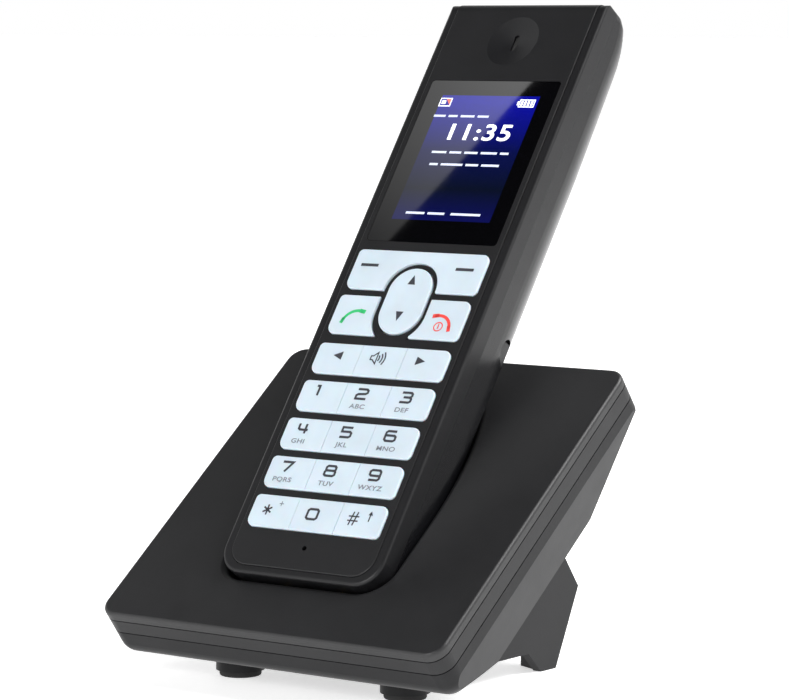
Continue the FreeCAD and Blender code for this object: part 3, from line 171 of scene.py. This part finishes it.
def grain(material, scale, strength, depth):
    """Fine moulded grain as a bump."""
    shader = material.node_tree.nodes["Principled BSDF"]
    pits = noise(material, scale, 2.0, 0.7)
    bump = add_node(material, "ShaderNodeBump", Strength=strength, Distance=depth)
    link(material, pits.outputs["Fac"], bump.inputs["Height"])
    link(material, bump.outputs["Normal"], shader.inputs["Normal"])


def plastic(name, colour, roughness, grain_scale, grain_strength, **sockets):
    material = new_material(name, colour, roughness, **sockets)
    vary_colour(material, colour, 0.12, 60)
    vary_roughness(material, roughness - 0.05, roughness + 0.06, 140)
    if grain_strength:
        grain(material, grain_scale, grain_strength, 0.00004)
    return material


def metal(name, colour, roughness):
    material = new_material(name, colour, roughness, Metallic=1.0)
    vary_colour(material, colour, 0.1, 200)
    vary_roughness(material, roughness - 0.08, roughness + 0.1, 500)
    grain(material, 3000, 0.15, 0.00002)
    return material


def screen_point(share):
    """A point on the screen's middle line, its height as a share of the screen's from its middle."""
    return FACE @ Vector((0, SCREEN_MIDDLE[1] + share * SCREEN_SIZE[1], 0))


def screen_material():
    """Lit panel: deep blue, brightest at its top and darkest below its middle."""
    material = new_material("screen_lit", (0.001, 0.001, 0.002), 0.02)
    shader = material.node_tree.nodes["Principled BSDF"]
    where = add_node(material, "ShaderNodeTexCoord")
    split = add_node(material, "ShaderNodeSeparateXYZ")
    link(material, where.outputs["Object"], split.inputs["Vector"])
    height = spread(material, split.outputs["Z"], 0, 1)
    height.inputs["From Min"].default_value = screen_point(-0.5).z
    height.inputs["From Max"].default_value = screen_point(0.5).z
    glow = ramp(material, height.outputs["Result"], (0.001, 0.003, 0.012), (0.002, 0.003, 0.25),
                0.25, 0.95)
    middle = glow.color_ramp.elements.new(0.55)
    middle.color = (0.001, 0.003, 0.05, 1)
    low_glow = glow.color_ramp.elements.new(0.02)
    low_glow.color = (0.002, 0.003, 0.06, 1)
    cells = noise(material, 900, 2.0)
    shade = add_node(material, "ShaderNodeMixRGB", blend_type="MULTIPLY")
    shade.inputs["Fac"].default_value = 0.25
    link(material, glow.outputs["Color"], shade.inputs["Color1"])
    link(material, cells.outputs["Color"], shade.inputs["Color2"])
    link(material, shade.outputs["Color"], shader.inputs["Emission Color"])
    shader.inputs["Emission Strength"].default_value = 1.6
    vary_roughness(material, 0.01, 0.03, 300)
    return material


def glow_material(name, colour, strength):
    material = new_material(name, colour, 0.3)
    shader = material.node_tree.nodes["Principled BSDF"]
    shader.inputs["Emission Color"].default_value = (*colour, 1)
    shader.inputs["Emission Strength"].default_value = strength
    vary_roughness(material, 0.25, 0.35, 300)
    return material


def key_material():
    """Icy white moulded keys that let a little light through."""
    colour = (0.56, 0.65, 0.72)
    material = new_material("key_ice", colour, 0.38, Subsurface_Weight=0.25, Subsurface_Scale=0.001)
    vary_colour(material, colour, 0.04, 90)
    vary_roughness(material, 0.32, 0.44, 400)
    grain(material, 2500, 0.08, 0.00003)
    return material


def window_material():
    """Polished dark window over the display."""
    material = new_material("lens_black", (0.001, 0.001, 0.0015), 0.02)
    vary_roughness(material, 0.01, 0.03, 140)
    return material


def make_materials():
    black = (0.008, 0.008, 0.009)
    return {
        "matte_black_deck": plastic("deck_black", (0.012, 0.012, 0.013), 0.42, 2200, 0.3),
        "matte_black_base": plastic("base_black", (0.007, 0.007, 0.008), 0.4, 2200, 0.25,
                                    Specular_IOR_Level=0.22),
        "satin_black_shell": plastic("shell_black", black, 0.38, 2600, 0.2,
                                     Specular_IOR_Level=0.32),
        "matte_black_plate": plastic("plate_black", black, 0.4, 2200, 0.3,
                                     Specular_IOR_Level=0.38),
        "gloss_black_shell": plastic("rear_black", (0.006, 0.006, 0.007), 0.22, 2600, 0.06,
                                     Specular_IOR_Level=0.4),
        "lens_black": window_material(),
        "screen_blue": plastic("panel_blue", (0.01, 0.02, 0.12), 0.2, 100, 0),
        "receiver_grey": plastic("receiver_grey", (0.05, 0.05, 0.052), 0.5, 2000, 0.2),
        "black_cloth": plastic("black_cloth", (0.02, 0.02, 0.02), 0.85, 5000, 0.8),
        "grey_silicone": plastic("silicone_grey", (0.5, 0.54, 0.58), 0.6, 1500, 0.1),
        "dome_steel": metal("dome_steel", (0.6, 0.6, 0.6), 0.25),
        "board_green": plastic("board_green", (0.02, 0.12, 0.05), 0.35, 900, 0.2),
        "shield_tin": metal("shield_tin", (0.62, 0.62, 0.6), 0.35),
        "carrier_grey": plastic("carrier_grey", (0.03, 0.03, 0.032), 0.5, 2000, 0.2),
        "battery_grey": plastic("battery_grey", (0.12, 0.13, 0.14), 0.4, 1200, 0.1),
        "contact_gold": metal("contact_gold", (0.85, 0.62, 0.28), 0.25),
        "screw_steel": metal("screw_steel", (0.42, 0.42, 0.44), 0.35),
        "rubber_black": plastic("rubber_black", (0.015, 0.015, 0.015), 0.8, 1800, 0.5),
        "key_white": key_material(),
    }


MATERIALS = make_materials()
INK_DARK = plastic("ink_dark", (0.035, 0.035, 0.045), 0.5, 3000, 0.05)
INK_PALE = plastic("ink_pale", (0.2, 0.21, 0.24), 0.5, 3000, 0.05)
INK_GREEN = plastic("ink_green", (0.03, 0.5, 0.16), 0.45, 3000, 0.05)
INK_RED = plastic("ink_red", (0.8, 0.06, 0.05), 0.45, 3000, 0.05)
SCREEN = screen_material()
GLOW_WHITE = glow_material("glow_white", (0.85, 0.88, 0.95), 0.9)
GLOW_SOFT = glow_material("glow_soft", (0.5, 0.54, 0.66), 0.7)
GLOW_RED = glow_material("glow_red", (0.8, 0.15, 0.1), 0.8)


# ---- CAD nodes: finish and fine edge rounds -------------------------------------------------------


def dress_nodes():
    """Gives each CAD node the material of its slot."""
    slots = {entry["node"]: entry["material_slot"] for entry in frame["record"]["subparts"]}
    for name, node in frame["nodes"].items():
        material = MATERIALS[slots[name]]
        if not node.material_slots:
            node.data.materials.append(material)
        for place in node.material_slots:
            place.material = material


def round_edges(name, width, segments=2):
    """A fine round on a node's sharp edges, so that they catch the light as moulded ones do."""
    bevel = frame["nodes"][name].modifiers.new("edge_round", "BEVEL")
    bevel.width = width * MM
    bevel.segments = segments
    bevel.limit_method = "ANGLE"
    bevel.angle_limit = math.radians(40)
    bevel.harden_normals = False


dress_nodes()
for node_name, width in (("face_plate", 0.12), ("front_shell", 0.12), ("trim_ring", 0.2),
                         ("lower_shell", 0.35), ("desk_stand", 0.4)):
    round_edges(node_name, width)


# ---- printed marks --------------------------------------------------------------------------------


def finish_piece(thing, body, material):
    """Sets a new piece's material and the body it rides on."""
    thing.data.materials.clear()
    thing.data.materials.append(material)
    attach(thing, body)
    return thing


def flat_piece(name, outlines, level, body, material, thick=INK_THICK):
    """Thin raised marks on the handset's face, from closed outlines of (x, t) points in millimetres."""
    curve = bpy.data.curves.new(name, "CURVE")
    curve.dimensions = "2D"
    curve.fill_mode = "BOTH"
    curve.extrude = thick / 2
    for outline in outlines:
        spline = curve.splines.new("POLY")
        spline.points.add(len(outline) - 1)
        for point, (x, t) in zip(spline.points, outline):
            point.co = (x, t, 0, 1)
        spline.use_cyclic_u = True
    return settle(name, curve, Matrix.Translation((0, 0, level + thick / 2)), body, material)


def settle(name, curve, local, body, material):
    """Turns a curve or text drawn in millimetres into a mesh on the handset's face."""
    drawn = bpy.data.objects.new(name + "_drawn", curve)
    bpy.context.scene.collection.objects.link(drawn)
    bpy.context.view_layer.update()
    mesh = bpy.data.meshes.new_from_object(drawn.evaluated_get(bpy.context.evaluated_depsgraph_get()))
    bpy.data.objects.remove(drawn)
    mesh.transform(FACE @ local)
    mesh.name = name
    thing = bpy.data.objects.new(name, mesh)
    bpy.context.scene.collection.objects.link(thing)
    return finish_piece(thing, body, material)


def words(name, text, x, t, size, level, body, material, spread_x=1.0, bold=0.0):
    """Text centred on (x, t); size is the capital height in millimetres."""
    curve = bpy.data.curves.new(name, "FONT")
    curve.body = text
    curve.align_x = "CENTER"
    curve.align_y = "CENTER"
    curve.size = size / 0.7
    curve.extrude = INK_THICK / 2
    curve.offset = bold
    curve.space_character = 1.08
    local = Matrix.Translation((x, t, level + INK_THICK / 2)) @ Matrix.Diagonal((spread_x, 1, 1, 1))
    return settle(name, curve, local, body, material)


def stroke(points, width):
    """Outline of a line of that width through the points."""
    left, right = [], []
    for index, (x, y) in enumerate(points):
        before = points[max(0, index - 1)]
        after = points[min(len(points) - 1, index + 1)]
        dx, dy = after[0] - before[0], after[1] - before[1]
        reach = math.hypot(dx, dy)
        nx, ny = -dy / reach * width / 2, dx / reach * width / 2
        left.append((x + nx, y + ny))
        right.append((x - nx, y - ny))
    return left + right[::-1]


def arc(cx, cy, radius, start, end, steps=16):
    """Points on an arc, angles in degrees."""
    angles = [math.radians(start + (end - start) * step / steps) for step in range(steps + 1)]
    return [(cx + radius * math.cos(angle), cy + radius * math.sin(angle)) for angle in angles]


def box_outline(cx, cy, width, height):
    return [(cx - width / 2, cy - height / 2), (cx + width / 2, cy - height / 2),
            (cx + width / 2, cy + height / 2), (cx - width / 2, cy + height / 2)]


def ink(name, outlines, body, material=None):
    """A mark printed on top of a key."""
    return flat_piece(name, outlines, KEY_TOP + INK_LIFT, body, material or INK_DARK)


def row_height(row, above):
    """Height up the face of a mark that lies that far above its key row's lower edge."""
    return ROW_START + row * ROW_PITCH + above


# Numerals in a square, wide style, in a unit square with x to the right and y up. Each is a list of
# lines; a line that ends where it starts is a closed ring.
STROKES = {
    "0": [[(0.15, 0), (0.85, 0), (1, 0.15), (1, 0.85), (0.85, 1), (0.15, 1), (0, 0.85), (0, 0.15),
           (0.15, 0)]],
    "1": [[(0.5, 0), (0.5, 1), (0.22, 1)]],
    "2": [[(0, 1), (0.85, 1), (1, 0.87), (1, 0.65), (0.85, 0.53), (0.15, 0.47), (0, 0.35), (0, 0),
           (1, 0)]],
    "3": [[(0, 1), (0.85, 1), (1, 0.87), (1, 0.66), (0.86, 0.52), (1, 0.38), (1, 0.13), (0.85, 0),
           (0, 0)], [(0.25, 0.52), (0.86, 0.52)]],
    "4": [[(0.1, 1), (0.1, 0.5), (0.25, 0.38), (1.02, 0.38)], [(0.78, 1), (0.78, 0)]],
    "5": [[(1, 1), (0.05, 1), (0.05, 0.56), (0.85, 0.56), (1, 0.43), (1, 0.13), (0.85, 0), (0, 0)]],
    "6": [[(0.15, 0), (0.85, 0), (1, 0.13), (1, 0.43), (0.85, 0.56), (0, 0.56), (0, 0.15), (0.15, 0)],
          [(0, 0.5), (0, 0.85), (0.15, 1), (0.95, 1)]],
    "7": [[(0, 1), (1, 1), (0.4, 0)]],
    "8": [[(0.15, 0), (0.85, 0), (1, 0.13), (1, 0.4), (0.87, 0.53), (0.13, 0.53), (0, 0.4),
           (0, 0.13), (0.15, 0)],
          [(0.13, 0.53), (0.04, 0.64), (0.04, 0.87), (0.17, 1), (0.83, 1), (0.96, 0.87),
           (0.96, 0.64), (0.87, 0.53)]],
    "9": [[(0.15, 1), (0.85, 1), (1, 0.85), (1, 0.44), (0.15, 0.44), (0, 0.57), (0, 0.87),
           (0.15, 1)], [(1, 0.5), (1, 0.15), (0.85, 0), (0.05, 0)]],
}
NUMERAL_SIZE = (2.9, 2.5)
NUMERAL_LINE = 0.58


def numeral(name, digit, x, t, body):
    """One numeral, centred on (x, t)."""
    wide, high = NUMERAL_SIZE
    for index, line in enumerate(STROKES[digit]):
        points = [(x + (px - 0.5) * wide, t + (py - 0.5) * high) for px, py in line]
        outlines = ring(points, NUMERAL_LINE) if points[0] == points[-1] else [
            mitred(points, NUMERAL_LINE)]
        flat_piece(f"{name}_{index}", outlines, KEY_TOP + INK_LIFT + 0.004 * index, body, INK_DARK)


def ring(points, width):
    """Outer and inner outlines of a line of that width round a closed loop of points."""
    corners = [Vector(point) for point in points[:-1]]
    count = len(corners)
    outer, inner = [], []
    for index, here in enumerate(corners):
        into = (here - corners[index - 1]).normalized()
        out = (corners[(index + 1) % count] - here).normalized()
        square = Vector((-into.y, into.x))
        side = (square + Vector((-out.y, out.x))).normalized()
        reach = width / 2 / max(0.35, side.dot(square))
        outer.append(tuple(here - side * reach))
        inner.append(tuple(here + side * reach))
    return [outer, inner]


def mitred(points, width):
    """Outline of a line of that width, with sharp corners, through the points."""
    left, right = [], []
    count = len(points)
    for index, point in enumerate(points):
        here = Vector(point)
        into = (here - Vector(points[index - 1])).normalized() if index else None
        out = (Vector(points[index + 1]) - here).normalized() if index < count - 1 else None
        into, out = into or out, out or into
        square = Vector((-into.y, into.x))
        side = (square + Vector((-out.y, out.x))).normalized()
        reach = width / 2 / max(0.35, side.dot(square))
        left.append(tuple(here + side * reach))
        right.append(tuple(here - side * reach))
    return left + right[::-1]


def mark_number_keys():
    """The ten digits, with the usual letters under 2 to 9."""
    letters = {"2": "ABC", "3": "DEF", "4": "GHI", "5": "JKL", "6": "MNO", "7": "PQRS", "8": "TUV",
               "9": "WXYZ"}
    rows = [(3, "123"), (2, "456"), (1, "789")]
    for row, digits in rows:
        for column, digit in zip((-1, 0, 1), digits):
            x = column * COLUMN - 1.15
            body = f"key_{digit}"
            numeral(f"numeral_{digit}", digit, x, row_height(row, DIGIT_HEIGHT), body)
            if digit in letters:
                words(f"letters_{digit}", letters[digit], x, row_height(row, LETTERS_HEIGHT),
                      1.15, KEY_TOP + INK_LIFT, body, INK_PALE, 1.3, 0.02)
    numeral("numeral_0", "0", -1.2, row_height(0, LOW_MARK_HEIGHT), "key_0")


def mark_star_and_hash():
    """Star with a small plus, and hash with a small upward arrow."""
    x, t = -COLUMN - 1.6, row_height(0, LOW_MARK_HEIGHT)
    for index, angle in enumerate((90, 30, 150)):
        reach_x = 1.3 * math.cos(math.radians(angle))
        reach_t = 1.3 * math.sin(math.radians(angle))
        line = stroke([(x - reach_x, t - reach_t), (x + reach_x, t + reach_t)], 0.42)
        ink(f"star_{index}", [line], "star_key")
    x, t = -COLUMN + 1.7, row_height(0, 6.1)
    ink("plus_a", [box_outline(x, t, 1.2, 0.22)], "star_key", INK_PALE)
    ink("plus_b", [box_outline(x, t, 0.22, 1.2)], "star_key", INK_PALE)
    x, t = COLUMN - 2.2, row_height(0, LOW_MARK_HEIGHT)
    for index, shift in enumerate((-0.55, 0.55)):
        upright = stroke([(x + shift - 0.25, t - 1.7), (x + shift + 0.25, t + 1.7)], 0.34)
        ink(f"hash_up_{index}", [upright], "hash_key")
        ink(f"hash_across_{index}", [box_outline(x, t + shift, 2.9, 0.32)], "hash_key")
    x, t = COLUMN + 2.1, row_height(0, 5.2)
    ink("shift_arrow", [[(x - 0.6, t + 0.3), (x + 0.6, t + 0.3), (x, t + 1.3)]], "hash_key")
    ink("shift_stem", [box_outline(x, t - 0.5, 0.3, 1.6)], "hash_key")


def mark_arrows():
    """Arrows on the left and right keys and on the rocker, and the dashes on the soft keys."""
    t = row_height(ARROW_ROW, ARROW_HEIGHT)
    for name, x, way in (("left", -COLUMN + 0.1, -1), ("right", COLUMN - 1.3, 1)):
        ink(f"arrow_{name}", [[(x + way * 1.25, t), (x - way * 1.25, t + 1.1),
                               (x - way * 1.25, t - 1.1)]], f"{name}_key")
    for name, t, way in (("up", 77.6, 1), ("down", 67.8, -1)):
        ink(f"arrow_{name}", [[(-0.1, t + way * 1.25), (-1.15, t - way * 1.25),
                               (0.95, t - way * 1.25)]], "nav_key")
    for side, x in (("left", -14.0), ("right", 13.1)):
        ink(f"soft_dash_{side}", [box_outline(x, SOFT_START + 6.5, 5.0, 0.75)], "soft_key_bar")


def mark_speaker():
    """Loudspeaker outline with three sound waves."""
    x, t = -2.0, row_height(ARROW_ROW, ARROW_HEIGHT)
    line = 0.3
    cone = [(x - 0.9, t - 0.5), (x - 0.3, t - 0.5), (x + 0.8, t - 1.5), (x + 0.8, t + 1.5),
            (x - 0.3, t + 0.5), (x - 0.9, t + 0.5), (x - 0.9, t - 0.5)]
    ink("speaker_cone", ring(cone, line), "speaker_key")
    for index, radius in enumerate((1.3, 2.1, 2.9)):
        wave = stroke(arc(x + 0.2, t, radius, -34, 34), line + 0.05)
        ink(f"speaker_wave_{index}", [wave], "speaker_key")


def mark_call_keys():
    """Green handset on the talk key, red handset with a power sign on the end key."""
    t = CALL_START + 3.2
    x = -12.6
    ink("talk_arc", [stroke(arc(x + 0.9, t - 0.6, 3.7, 70, 172), 0.75)], "talk_key", INK_GREEN)
    ink("talk_ear", [stroke([(x + 1.2, t + 3.15), (x + 2.9, t + 2.85)], 1.0)], "talk_key", INK_GREEN)
    ink("talk_mouth", [stroke([(x - 2.9, t - 0.4), (x - 2.5, t + 1.0)], 0.9)], "talk_key", INK_GREEN)
    x = 12.4
    ink("end_arc", [stroke(arc(x - 0.9, t - 0.6, 3.7, 8, 110), 0.75)], "end_key", INK_RED)
    ink("end_ear", [stroke([(x - 2.9, t + 2.85), (x - 1.2, t + 3.15)], 1.0)], "end_key", INK_RED)
    ink("end_mouth", [stroke([(x + 2.9, t - 0.9), (x + 2.55, t + 0.6)], 0.9)], "end_key", INK_RED)
    x, t = x - 0.3, t + 0.2
    ink("end_ring", [arc(x, t, 1.25, 0, 360, 28)[:-1], arc(x, t, 0.98, 0, 360, 28)[:-1]], "end_key",
        INK_RED)
    ink("end_bar", [box_outline(x, t + 0.1, 0.26, 1.3)], "end_key", INK_RED)


mark_number_keys()
mark_star_and_hash()
mark_arrows()
mark_speaker()
mark_call_keys()


# ---- display --------------------------------------------------------------------------------------

GLASS_LEVEL = LENS_TOP + 0.01


SCREEN_LIFT = 0.02


def on_screen(name, outlines, material, lift=SCREEN_LIFT):
    """A lit mark on the display."""
    return flat_piece(name, outlines, GLASS_LEVEL + lift, "handset", material, 0.008)


def screen_text(name, text, x, t, size, bold=0.0, wide=1.0):
    return words(name, text, x, t, size, GLASS_LEVEL + SCREEN_LIFT, "handset", GLOW_WHITE,
                 wide, bold)


def make_screen():
    """The lit panel with a battery sign, a card sign, a clock and neutral bars instead of words."""
    cx, ct = SCREEN_MIDDLE
    wide, high = SCREEN_SIZE
    on_screen("screen", [box_outline(cx, ct, wide, high)], SCREEN, 0.0)
    top = ct + high / 2
    # battery sign
    x, t = cx + 11.0, top - 2.0
    on_screen("battery_case", [box_outline(x, t, 4.4, 2.2), box_outline(x, t, 3.9, 1.7)], GLOW_WHITE)
    on_screen("battery_tip", [box_outline(x - 2.45, t, 0.5, 1.1)], GLOW_WHITE)
    for index in range(4):
        on_screen(f"battery_bar_{index}", [box_outline(x - 1.4 + index * 0.93, t, 0.6, 1.3)],
                  GLOW_WHITE)
    # card sign
    x = cx - 12.4
    on_screen("card_case", [box_outline(x, t, 3.4, 2.4), box_outline(x, t, 2.9, 1.9)], GLOW_WHITE)
    on_screen("card_chip", [box_outline(x - 0.5, t, 1.1, 1.0)], GLOW_WHITE)
    on_screen("card_flag", [[(x + 0.1, t + 0.9), (x + 1.4, t + 0.9), (x + 1.4, t - 0.8)]], GLOW_RED,
              0.03)
    # clock
    screen_text("clock", "11:35", cx + 0.6, ct + 6.9, 4.4, 0.09, 1.3)
    # neutral bars: height, middle, and the lengths in a row (0 leaves a place empty)
    lines = [(top - 5.9, -6.2, (3.4, 2.6, 4.0, 3.2)), (ct + 1.4, 0.6, (4.2, 3.4, 3.8, 4.6, 2.4)),
             (ct - 2.0, 0.3, (2.4, 6.2, 3.6, 5.0)), (ct - high / 2 + 1.9, 0.0, (5.4, 4.8, 0, 8.4))]
    for row, (t, middle, run) in enumerate(lines):
        gap = 0.9
        x = cx + middle - (sum(run) + gap * (len(run) - 1)) / 2
        for index, length in enumerate(run):
            if length:
                on_screen(f"line_{row}_{index}", [box_outline(x + length / 2, t, length, 0.6)],
                          GLOW_SOFT)
            x += length + gap


make_screen()


# ---- floor, light and camera ----------------------------------------------------------------------

FLOOR_REACH = 30.0
FLOOR_GLOW = 0.62
CAMERA_PLACE = (0.4795, -0.64607, 0.1477)
CAMERA_TURN = math.radians(36.93)
CAMERA_DOWN = math.radians(5.31)
CARD_DISTANCE = 1.3
CARD_SIZE = (0.9, 0.4)
CARD_POWER = 0.006
CARD_SPREAD = math.radians(9)


def make_floor():
    """Pale floor that glows a little, so that it stays white right up to the horizon."""
    mesh = bpy.data.meshes.new("floor")
    reach = FLOOR_REACH
    mesh.from_pydata([(-reach, -reach, 0), (reach, -reach, 0), (reach, reach, 0), (-reach, reach, 0)],
                     [], [(0, 1, 2, 3)])
    floor = bpy.data.objects.new("floor", mesh)
    bpy.context.scene.collection.objects.link(floor)
    colour = (0.9, 0.9, 0.9)
    material = new_material("floor_pale", colour, 0.6)
    shader = material.node_tree.nodes["Principled BSDF"]
    shader.inputs["Emission Color"].default_value = (1, 1, 1, 1)
    shader.inputs["Emission Strength"].default_value = FLOOR_GLOW
    vary_colour(material, colour, 0.01, 2)
    vary_roughness(material, 0.55, 0.65, 5)
    mesh.materials.append(material)


def make_world():
    """Studio: bright all round at floor height, dim overhead."""
    world = bpy.data.worlds.new("studio")
    world.use_nodes = True
    tree = world.node_tree
    sky = tree.nodes["Background"]
    where = tree.nodes.new("ShaderNodeTexCoord")
    split = tree.nodes.new("ShaderNodeSeparateXYZ")
    shade = tree.nodes.new("ShaderNodeValToRGB")
    stops = shade.color_ramp.elements
    stops[0].position, stops[0].color = 0.56, (1, 1, 1, 1)
    stops[1].position, stops[1].color = 0.68, (0.02, 0.02, 0.02, 1)
    tree.links.new(where.outputs["Generated"], split.inputs["Vector"])
    tree.links.new(split.outputs["Z"], shade.inputs["Fac"])
    tree.links.new(shade.outputs["Color"], sky.inputs["Color"])
    sky.inputs["Strength"].default_value = 1.0
    bpy.context.scene.world = world


def softbox(name, place, target, size, power):
    """A rectangular area light at place, facing target."""
    light = bpy.data.lights.new(name, "AREA")
    light.shape = "RECTANGLE"
    light.size, light.size_y = size
    light.energy = power
    lamp = bpy.data.objects.new(name, light)
    bpy.context.scene.collection.objects.link(lamp)
    lamp.location = place
    lamp.rotation_mode = "QUATERNION"
    lamp.rotation_quaternion = (Vector(target) - Vector(place)).to_track_quat("-Z", "Y")
    return lamp


def mirrored(x, t):
    """Where the camera's ray goes after the display window mirrors it, and how it runs there."""
    normal = (FACE.to_3x3() @ Vector((0, 0, 1))).normalized()
    spot = FACE @ Vector((x, t, LENS_TOP))
    ray = (spot - Vector(CAMERA_PLACE)).normalized()
    ray = ray - 2 * ray.dot(normal) * normal
    return spot + ray * CARD_DISTANCE, ray


def lens_card():
    """A pale card whose edge the display window mirrors as a slanting line, fading downwards."""
    upper, ray = mirrored(10.0, 133.0)
    lower, _ = mirrored(0.5, 113.5)
    along = (upper - lower - (upper - lower).dot(ray) * ray).normalized()
    across = along.cross(ray).normalized()
    if across.x > 0:
        across = -across
    middle = upper + across * CARD_SIZE[1] / 2
    lamp = softbox("lens_card", middle, upper, CARD_SIZE, CARD_POWER)
    lamp.data.spread = CARD_SPREAD
    lamp.rotation_quaternion = Matrix((along, ray.cross(along), ray)).transposed().to_quaternion()


def make_camera():
    """Long lens from the front right, a little above the handset's middle."""
    camera = bpy.data.objects.new("camera", bpy.data.cameras.new("camera"))
    bpy.context.scene.collection.objects.link(camera)
    camera.location = CAMERA_PLACE
    level = math.cos(CAMERA_DOWN)
    back = Vector((math.sin(CAMERA_TURN) * level, -math.cos(CAMERA_TURN) * level,
                   math.sin(CAMERA_DOWN)))
    camera.rotation_mode = "QUATERNION"
    camera.rotation_quaternion = (-back).to_track_quat("-Z", "Y")
    camera.data.sensor_width = 36.0
    camera.data.lens = 160.4
    camera.data.clip_start = 0.05
    camera.data.clip_end = 100.0
    bpy.context.scene.camera = camera


make_floor()
make_world()
MIDDLE = ((cad_low + cad_high) / 2)[:]
softbox("key_light", (0.9, 0.6, 1.5), MIDDLE, (1.0, 1.0), 42)
softbox("fill_light", (-0.2, -1.7, 0.8), MIDDLE, (0.7, 0.5), 12)
lens_card()
make_camera()
bpy.context.scene.view_settings.view_transform = "Standard"
